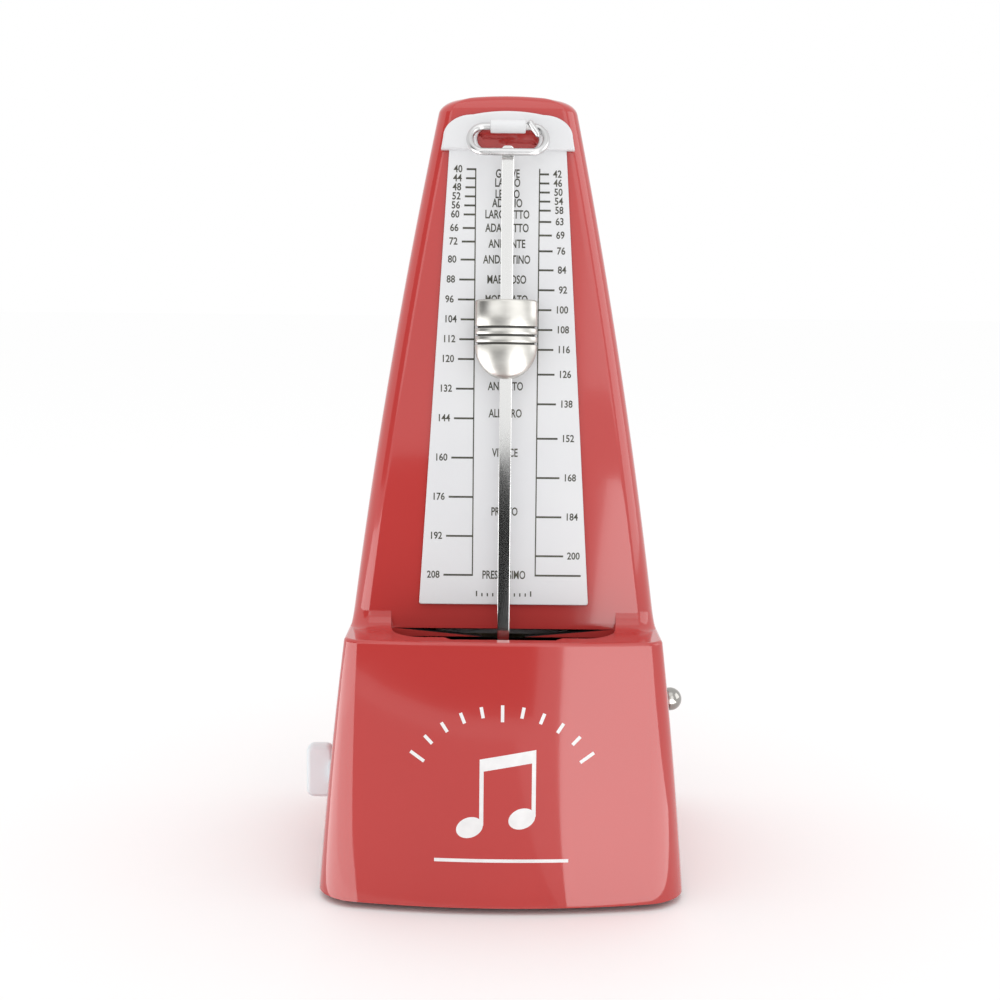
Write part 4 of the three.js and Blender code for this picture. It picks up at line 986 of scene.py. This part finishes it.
# %% [markdown]
# ## Clip
# The clip is one bright wire, bent to a flat loop. Its upper run turns in the barrel on the dial, and
# its lower run catches the tip of the pendulum. A ring of vertices is extruded along the loop.

# %% Clip wire
WIRE = 0.95
LOOP_HALF, LOOP_DROP, LOOP_REACH, LOOP_ROUND = 10.2, 7.6, 5.6, 3.7


END_LEAN = math.radians(144)
END_PROFILE = [(0, -2.6), (0.5, -2.45), (0.8, -2.1), (0.85, -1.7), (0.85, 1.7), (0.8, 2.1), (0.5, 2.45), (0, 2.6)]


def loop_path():
    """Points round the loop in its own plane: across, and down from the hinge."""
    half, r = LOOP_HALF, LOOP_ROUND
    points = [(lerp(r - half, half - r, i / 12), 0) for i in range(12)]
    points += [(half - r + r * math.sin(a), r - r * math.cos(a)) for a in [math.pi / 2 * i / 10 for i in range(10)]]
    low = LOOP_DROP - r
    points += [(half - r + r * math.cos(a), low + r * math.sin(a)) for a in [math.pi / 2 * i / 10 for i in range(10)]]
    count = len(points)
    points += [(-x, LOOP_DROP - d) for x, d in points[:count]]
    return points


def loop_point(across, down):
    lean = LOOP_REACH / LOOP_DROP
    return Vector((across, -BARREL_OUT - down * lean, BARREL_UP - down)) * MM


def make_clip():
    centres = [loop_point(x, d) for x, d in loop_path()]
    flat = (loop_point(1, 0) - loop_point(0, 0)).cross(loop_point(0, 1) - loop_point(0, 0)).normalized()
    rings = []
    for i, centre in enumerate(centres):
        ahead = (centres[(i + 1) % len(centres)] - centres[i - 1]).normalized()
        side = ahead.cross(flat).normalized()
        turns = [2 * math.pi * k / 16 for k in range(16)]
        rings.append([centre + WIRE * MM * (side * math.cos(a) + flat * math.sin(a)) for a in turns])
    bm = stack(rings)
    caps = [face for face in bm.faces if len(face.verts) > 4]
    bmesh.ops.bridge_loops(bm, edges=[edge for face in caps for edge in face.edges])
    bmesh.ops.delete(bm, geom=caps, context="FACES_ONLY")
    bmesh.ops.recalc_face_normals(bm, faces=bm.faces)
    blank = object_from(moved(bm, DIAL), "clip_blank", clip_steel, "clip")
    end = Matrix.Translation(Vector((7, -BARREL_OUT - 0.7, BARREL_UP - 0.6)) * MM) @ Matrix.Rotation(END_LEAN, 4, "Y")
    boolean(blank, [tool_from(moved(spun(END_PROFILE, 24), DIAL @ end))], "UNION")
    clip = object_from(keep_mesh(blank), "clip_wire", clip_steel, "clip", sharp=60)
    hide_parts("pendulum_clip")
    return clip


clip = make_clip()
print("clip faces:", len(clip.data.polygons))

# %% [markdown]
# ## Pendulum
# A flat steel rod swings in front of the dial. Inside the case it ends in a brass bob, and outside a
# sliding weight sets the tempo. The weight is turned, then squeezed to an oval, because the real one
# is oval in plan: a disc of steel with three grooves and a domed lower end.

# %% Rod and bob
ROD_OUT, ROD_HALF, ROD_TIP, PIVOT_UP = 6.4, 1.65, 131.4, -29.6
BOB_TOP = PIVOT_UP - 18
BOB_TALL = 17


def rod_rim(inset):
    low = BOB_TOP - BOB_TALL + 2
    half = ROD_HALF - inset
    tip = arc_points(half - 1.1, ROD_TIP - inset - 1.1, 1.1, 1.1, 0, 90, 5)
    return [(-half, low + inset), (half, low + inset)] + tip + [(-x, z) for x, z in reversed(tip)]


def make_rod():
    bm = slab(rod_rim, -ROD_OUT - 0.5, -ROD_OUT + 0.5, 0.18, 0.18, count=3)
    hub = slab(lambda inset: arc_points(0, PIVOT_UP, 4.5 - inset, 4.5 - inset, 0, 352.5, 47),
               -ROD_OUT - 0.5, -ROD_OUT + 0.5, 0.2, 0.2, count=3)
    rod = object_from(moved(bm, DIAL), "rod_blank", polished_steel, "pendulum")
    boolean(rod, [tool_from(moved(hub, DIAL))], "UNION")
    boolean(rod, [tool_from(moved(rod_tool("Y", 1.5, -20, 20, (0, 0, PIVOT_UP)), DIAL))], "DIFFERENCE")
    done = object_from(keep_mesh(rod), "rod_bar", polished_steel, "pendulum", sharp=20)
    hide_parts("pendulum_rod")
    return even_shading(done)


def make_bob():
    bm = slab(rect_rim(-13, 13, BOB_TOP - BOB_TALL, BOB_TOP, 3), -13.2, 0.6, 1.2, 1.2, count=5)
    bob = object_from(moved(bm, DIAL), "bob_blank", brass, "pendulum")
    groove = block(-1.95, 1.95, -ROD_OUT - 0.8, -ROD_OUT + 0.8, BOB_TOP - BOB_TALL + 1.7, BOB_TOP + 1)
    boolean(bob, [tool_from(moved(groove, DIAL))], "DIFFERENCE")
    done = object_from(keep_mesh(bob), "bob_body", brass, "pendulum")
    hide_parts("pendulum_bob")
    return even_shading(done)


print("rod faces:", len(make_rod().data.polygons), "bob faces:", len(make_bob().data.polygons))

# %% Sliding weight
WEIGHT_HALF, WEIGHT_TALL, WEIGHT_THICK, WEIGHT_UP, WEIGHT_DOME = 8.5, 21.5, 8.6, 90.3, 9.2
GROOVES = [7.4, 9.6, 11.8]


def weight_profile():
    r = WEIGHT_HALF
    profile = [(0, 0), (r - 0.9, 0), (r - 0.5, -0.08), (r - 0.15, -0.3), (r, -0.7), (r, -4)]
    for h in GROOVES:
        profile += [(r, -h + 0.42), (r - 0.1, -h + 0.32), (r - 0.8, -h + 0.26),
                    (r - 0.8, -h - 0.26), (r - 0.1, -h - 0.32), (r, -h - 0.42)]
    bend = WEIGHT_TALL - WEIGHT_DOME
    for i in range(0, 21):
        a = math.pi / 2 * i / 20
        profile.append((r * math.cos(a) if i < 20 else 0, -bend - WEIGHT_DOME * math.sin(a)))
    return profile


def make_weight():
    bm = spun(weight_profile(), 96)
    # Faces inside the grooves get the second material, the painted shade.
    for face in bm.faces:
        spot = face.calc_center_median() / MM
        face.material_index = int(-13 < spot.z < -6 and math.hypot(spot.x, spot.y) < WEIGHT_HALF - 0.2)
    place = DIAL @ Matrix.Translation((0, -ROD_OUT * MM, WEIGHT_UP * MM))
    moved(bm, place @ Matrix.Diagonal((1, WEIGHT_THICK / (2 * WEIGHT_HALF), 1, 1)))
    weight = object_from(bm, "weight_blank", satin_nickel, "weight")
    channel = moved(block(-1.95, 1.95, -0.8, 2, -WEIGHT_TALL - 1, 1), place)
    boolean(weight, [tool_from(channel)], "DIFFERENCE")
    done = object_from(keep_mesh(weight), "weight_body", satin_nickel, "weight", sharp=40)
    # Second material: the painted shade in the grooves.
    done.data.materials.append(groove_painted_shade)
    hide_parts("sliding_weight")
    return done


print("weight faces:", len(make_weight().data.polygons))

# %% [markdown]
# ## Key and knob
# The winding key is a white plastic wing with soft edges on a round hub. The beat selector ends in a
# small polished ball. The key is a thick slab with big radii, and the ball is a spin.

# %% Winding key
KEY_LOW, KEY_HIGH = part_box("winding_key")
KEY_TALL, KEY_THICK, KEY_HUB = 15.7, 4.6, 4.4
KEY_SIDE = taper(BASE_HALF, TOP_HALF, KEY_CENTRE[2] - KEY_TALL / 2 * MM) / MM


def hub_profile():
    inner, outer = -39, -KEY_SIDE - 1.5
    return [(0, inner), (KEY_HUB, inner), (KEY_HUB, outer + 0.5), (KEY_HUB - 0.15, outer + 0.15),
            (KEY_HUB - 0.5, outer), (0, outer)]


def make_key():
    y, z = KEY_CENTRE[1] / MM, KEY_CENTRE[2] / MM
    rim = rect_rim(KEY_LOW[0] / MM, -KEY_SIDE - 0.5, z - KEY_TALL / 2, z + KEY_TALL / 2, 2.2, 8)
    bm = slab(rim, y - KEY_THICK / 2, y + KEY_THICK / 2, 1.3, 1.3, count=6)
    key = object_from(bm, "key_blank", white_key, "winding")
    at = Matrix.Translation((0, y * MM, z * MM))
    boolean(key, [tool_from(moved(spun(hub_profile(), 56), at @ ALONG_X))], "UNION")
    boolean(key, [tool_from(rod_tool("X", 2.3, -46.3, -30, (0, y, z)))], "DIFFERENCE")
    done = object_from(keep_mesh(key), "key_wing", white_key, "winding", sharp=32)
    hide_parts("winding_key")
    return even_shading(done)


print("key faces:", len(make_key().data.polygons))

# %% Selector knob
KNOB_LOW, KNOB_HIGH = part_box("selector_knob")
KNOB_RADIUS = 3.5


def knob_profile():
    start, end = KNOB_LOW[0] / MM, KNOB_HIGH[0] / MM
    profile = [(0, end - 3.5), (1.8, end - 3.5), (1.8, start), (2.1, start), (2.2, start + 0.1), (2.6, start + 1.2)]
    for i in range(17):
        a = lerp(-0.75, math.pi / 2, i / 16)
        profile.append((KNOB_RADIUS * math.cos(a) if i < 16 else 0, end - KNOB_RADIUS + KNOB_RADIUS * math.sin(a)))
    return profile


def make_knob():
    at = Matrix.Translation((0, KNOB_CENTRE[1], KNOB_CENTRE[2]))
    knob = object_from(moved(spun(knob_profile(), 56), at @ ALONG_X), "knob_ball", knob_nickel, "selector")
    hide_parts("selector_knob")
    return knob


print("knob faces:", len(make_knob().data.polygons))

# %% [markdown]
# ## Print on the front
# The lower front carries a plain white print: two joined notes under a fan of tempo ticks, and a thin
# rule below. The shapes are drawn flat and cut into narrow strips, so that they can follow the bow of
# the front when each vertex is pressed onto it.

# %% Front print
def front_y(x, z):
    """The front surface of the lower case, in millimetres."""
    t = (z * MM - FOOT_HEIGHT) / (LEDGE - FOOT_HEIGHT)
    half = taper(BASE_HALF, TOP_HALF, z * MM) / MM
    return -taper(BASE_FRONT, TOP_FRONT, z * MM) / MM + lerp(6, 2.2, t) * (x / half) ** 2


def add_shape(bm, points):
    """A flat shape from its outline, one unit thick in Y."""
    face = bm.faces.new([bm.verts.new((x, 0, z)) for x, z in points])
    pushed = bmesh.ops.extrude_face_region(bm, geom=[face])["geom"]
    for vert in [g for g in pushed if isinstance(g, bmesh.types.BMVert)]:
        vert.co.y = -1


def oval(x, z, wide, tall, turn, count=40):
    points = []
    for i in range(count):
        a = 2 * math.pi * i / count
        u, v = wide * math.cos(a), tall * math.sin(a)
        points.append((x + u * math.cos(turn) - v * math.sin(turn), z + u * math.sin(turn) + v * math.cos(turn)))
    return points


def bar_at(x, z, angle, near, far, wide):
    """A bar that points away from a centre."""
    c, s = math.cos(angle), math.sin(angle)
    ends = [(near, -wide / 2), (far, -wide / 2), (far, wide / 2), (near, wide / 2)]
    return [(x + r * c - w * s, z + r * s + w * c) for r, w in ends]


FAN_CENTRE = (0, 27)
NOTE_HEADS = [(-8.6, 24), (5.4, 26.5)]


def make_front_print():
    bm = bmesh.new()
    for x, z in NOTE_HEADS:
        add_shape(bm, oval(x, z, 3.7, 2.7, math.radians(22)))
    left, right = [(x + 3.15, z) for x, z in NOTE_HEADS]
    for x, z in (left, right):
        add_shape(bm, [(x - 0.55, z + 0.6), (x + 0.55, z + 0.6), (x + 0.55, z + 17.6), (x - 0.55, z + 17.6)])
    add_shape(bm, [(left[0] - 0.55, left[1] + 15), (right[0] + 0.55, right[1] + 15.2),
                   (right[0] + 0.55, right[1] + 18.6), (left[0] - 0.55, left[1] + 18.4)])
    for i in range(11):
        angle = math.radians(lerp(35, 145, i / 10))
        add_shape(bm, bar_at(*FAN_CENTRE, angle, 25.5 if i % 5 == 0 else 27, 30, 0.9))
    add_shape(bm, [(-18, 14.6), (18, 14.6), (18, 15.5), (-18, 15.5)])
    bmesh.ops.recalc_face_normals(bm, faces=bm.faces)
    for x in range(-27, 28):
        whole = bm.verts[:] + bm.edges[:] + bm.faces[:]
        bmesh.ops.bisect_plane(bm, geom=whole, dist=1e-5, plane_co=(x, 0, 0), plane_no=(1, 0, 0))
    for vert in bm.verts:
        depth = 0.035 if vert.co.y < -0.5 else -0.06
        vert.co = Vector((vert.co.x, front_y(vert.co.x, vert.co.z) - depth, vert.co.z)) * MM
    return object_from(bm, "front_print", case_ink, "case")


front_print = make_front_print()
print("front print faces:", len(front_print.data.polygons))

# %% [markdown]
# ## Stage
# A plain white floor in an even white studio gives the soft light. Shiny surfaces need something to
# mirror, so reflection cards are added: soft boxes that only show in reflections, and a dark card. One
# soft box lies slanted in front on the right, and the bowed front mirrors it as a broad pale area.

# %% Floor and world
def make_floor():
    bm = bmesh.new()
    bmesh.ops.create_grid(bm, x_segments=2, y_segments=2, size=12)
    floor = object_from(bm, "floor", new_material("floor", (0.99, 0.99, 0.99), 0.9, Specular_IOR_Level=0.0), None)
    return floor


def make_world(strength):
    world = bpy.data.worlds.new("studio")
    world.use_nodes = True
    background = world.node_tree.nodes["Background"]
    background.inputs["Color"].default_value = (1, 1, 1, 1)
    background.inputs["Strength"].default_value = strength
    bpy.context.scene.world = world


make_floor()
make_world(1.0)
print("floor and world made")


# %% Soft boxes and cards
def soft_box(name, width, height, radiance, place, reflection_only=True):
    """An area lamp. Its power follows from how bright its face should look."""
    data = bpy.data.lights.new(name, "AREA")
    data.shape = "RECTANGLE"
    data.size = width
    data.size_y = height
    data.energy = radiance * math.pi * width * height
    lamp = bpy.data.objects.new(name, data)
    bpy.context.scene.collection.objects.link(lamp)
    lamp.matrix_world = place
    lamp.visible_camera = False
    lamp.visible_diffuse = not reflection_only
    return lamp


def standing(azimuth, distance, height, tilt=0.0):
    """A place on a circle round the metronome, facing it. Azimuth 0 is straight in front, + is right."""
    turn = math.radians(azimuth)
    spot = Vector((distance * math.sin(turn), -distance * math.cos(turn), height))
    return Matrix.Translation(spot) @ Matrix.Rotation(turn, 4, "Z") @ Matrix.Rotation(-math.pi / 2 + tilt, 4, "X") \
        @ Matrix.Rotation(math.pi, 4, "X")


def slanted(x, y, turn, rise, width, length, side=1):
    """Starts with a front corner at (x, y) on the floor, and rises away from the metronome."""
    turn, rise = math.radians(turn), math.radians(rise)
    corner = Matrix.Translation((x, y, 0.001)) @ Matrix.Rotation(turn, 4, "Z") @ Matrix.Rotation(-rise, 4, "X")
    return corner @ Matrix.Translation((side * width / 2, -length / 2, 0)) @ Matrix.Rotation(math.pi, 4, "X")


def card(name, shade, place, width, height):
    """A plain card that only shows in reflections."""
    bm = bmesh.new()
    bmesh.ops.create_grid(bm, x_segments=1, y_segments=1, size=0.5)
    moved(bm, place @ Matrix.Diagonal((width, height, 1, 1)))
    sheet = object_from(bm, name, new_material(name, (shade, shade, shade), 0.9, Specular_IOR_Level=0.0), None)
    sheet.visible_camera = sheet.visible_diffuse = sheet.visible_shadow = False
    return sheet


soft_box("front_right_box", 0.13, 0.30, 3.0, slanted(0.0188, -0.056, 6.5, 23.6, 0.13, 0.30))
soft_box("front_left_box", 0.40, 0.30, 2.4, slanted(-0.040, -0.051, -31, 23.6, 0.40, 0.30, -1))
soft_box("left_box", 0.26, 0.3, 0.9, standing(-22, 0.6, 0.35))
soft_box("right_box", 0.37, 0.42, 1.1, standing(21, 0.64, 0.4))
soft_box("right_strip", 0.45, 0.5, 1.5, standing(85, 0.6, 0.35))
soft_box("top_box", 0.7, 0.7, 0.7, Matrix.Translation((0.1, -0.5, 1.0)) @ Matrix.Rotation(math.radians(27), 4, "X"), False)
card("left_card", 0.05, standing(-60, 0.7, 0.385), 0.5, 0.43)
card("low_card", 0.02, Matrix.Translation((-0.175, -0.6, 0.07)) @ Matrix.Rotation(math.pi / 2, 4, "X"), 0.45, 0.14)
card("floor_card", 0.6, Matrix.Translation((-0.1665, -0.255, 0.0004)), 0.367, 0.39)
bpy.context.scene.view_settings.view_transform = "Standard"
print("lamps:", len(bpy.data.lights))
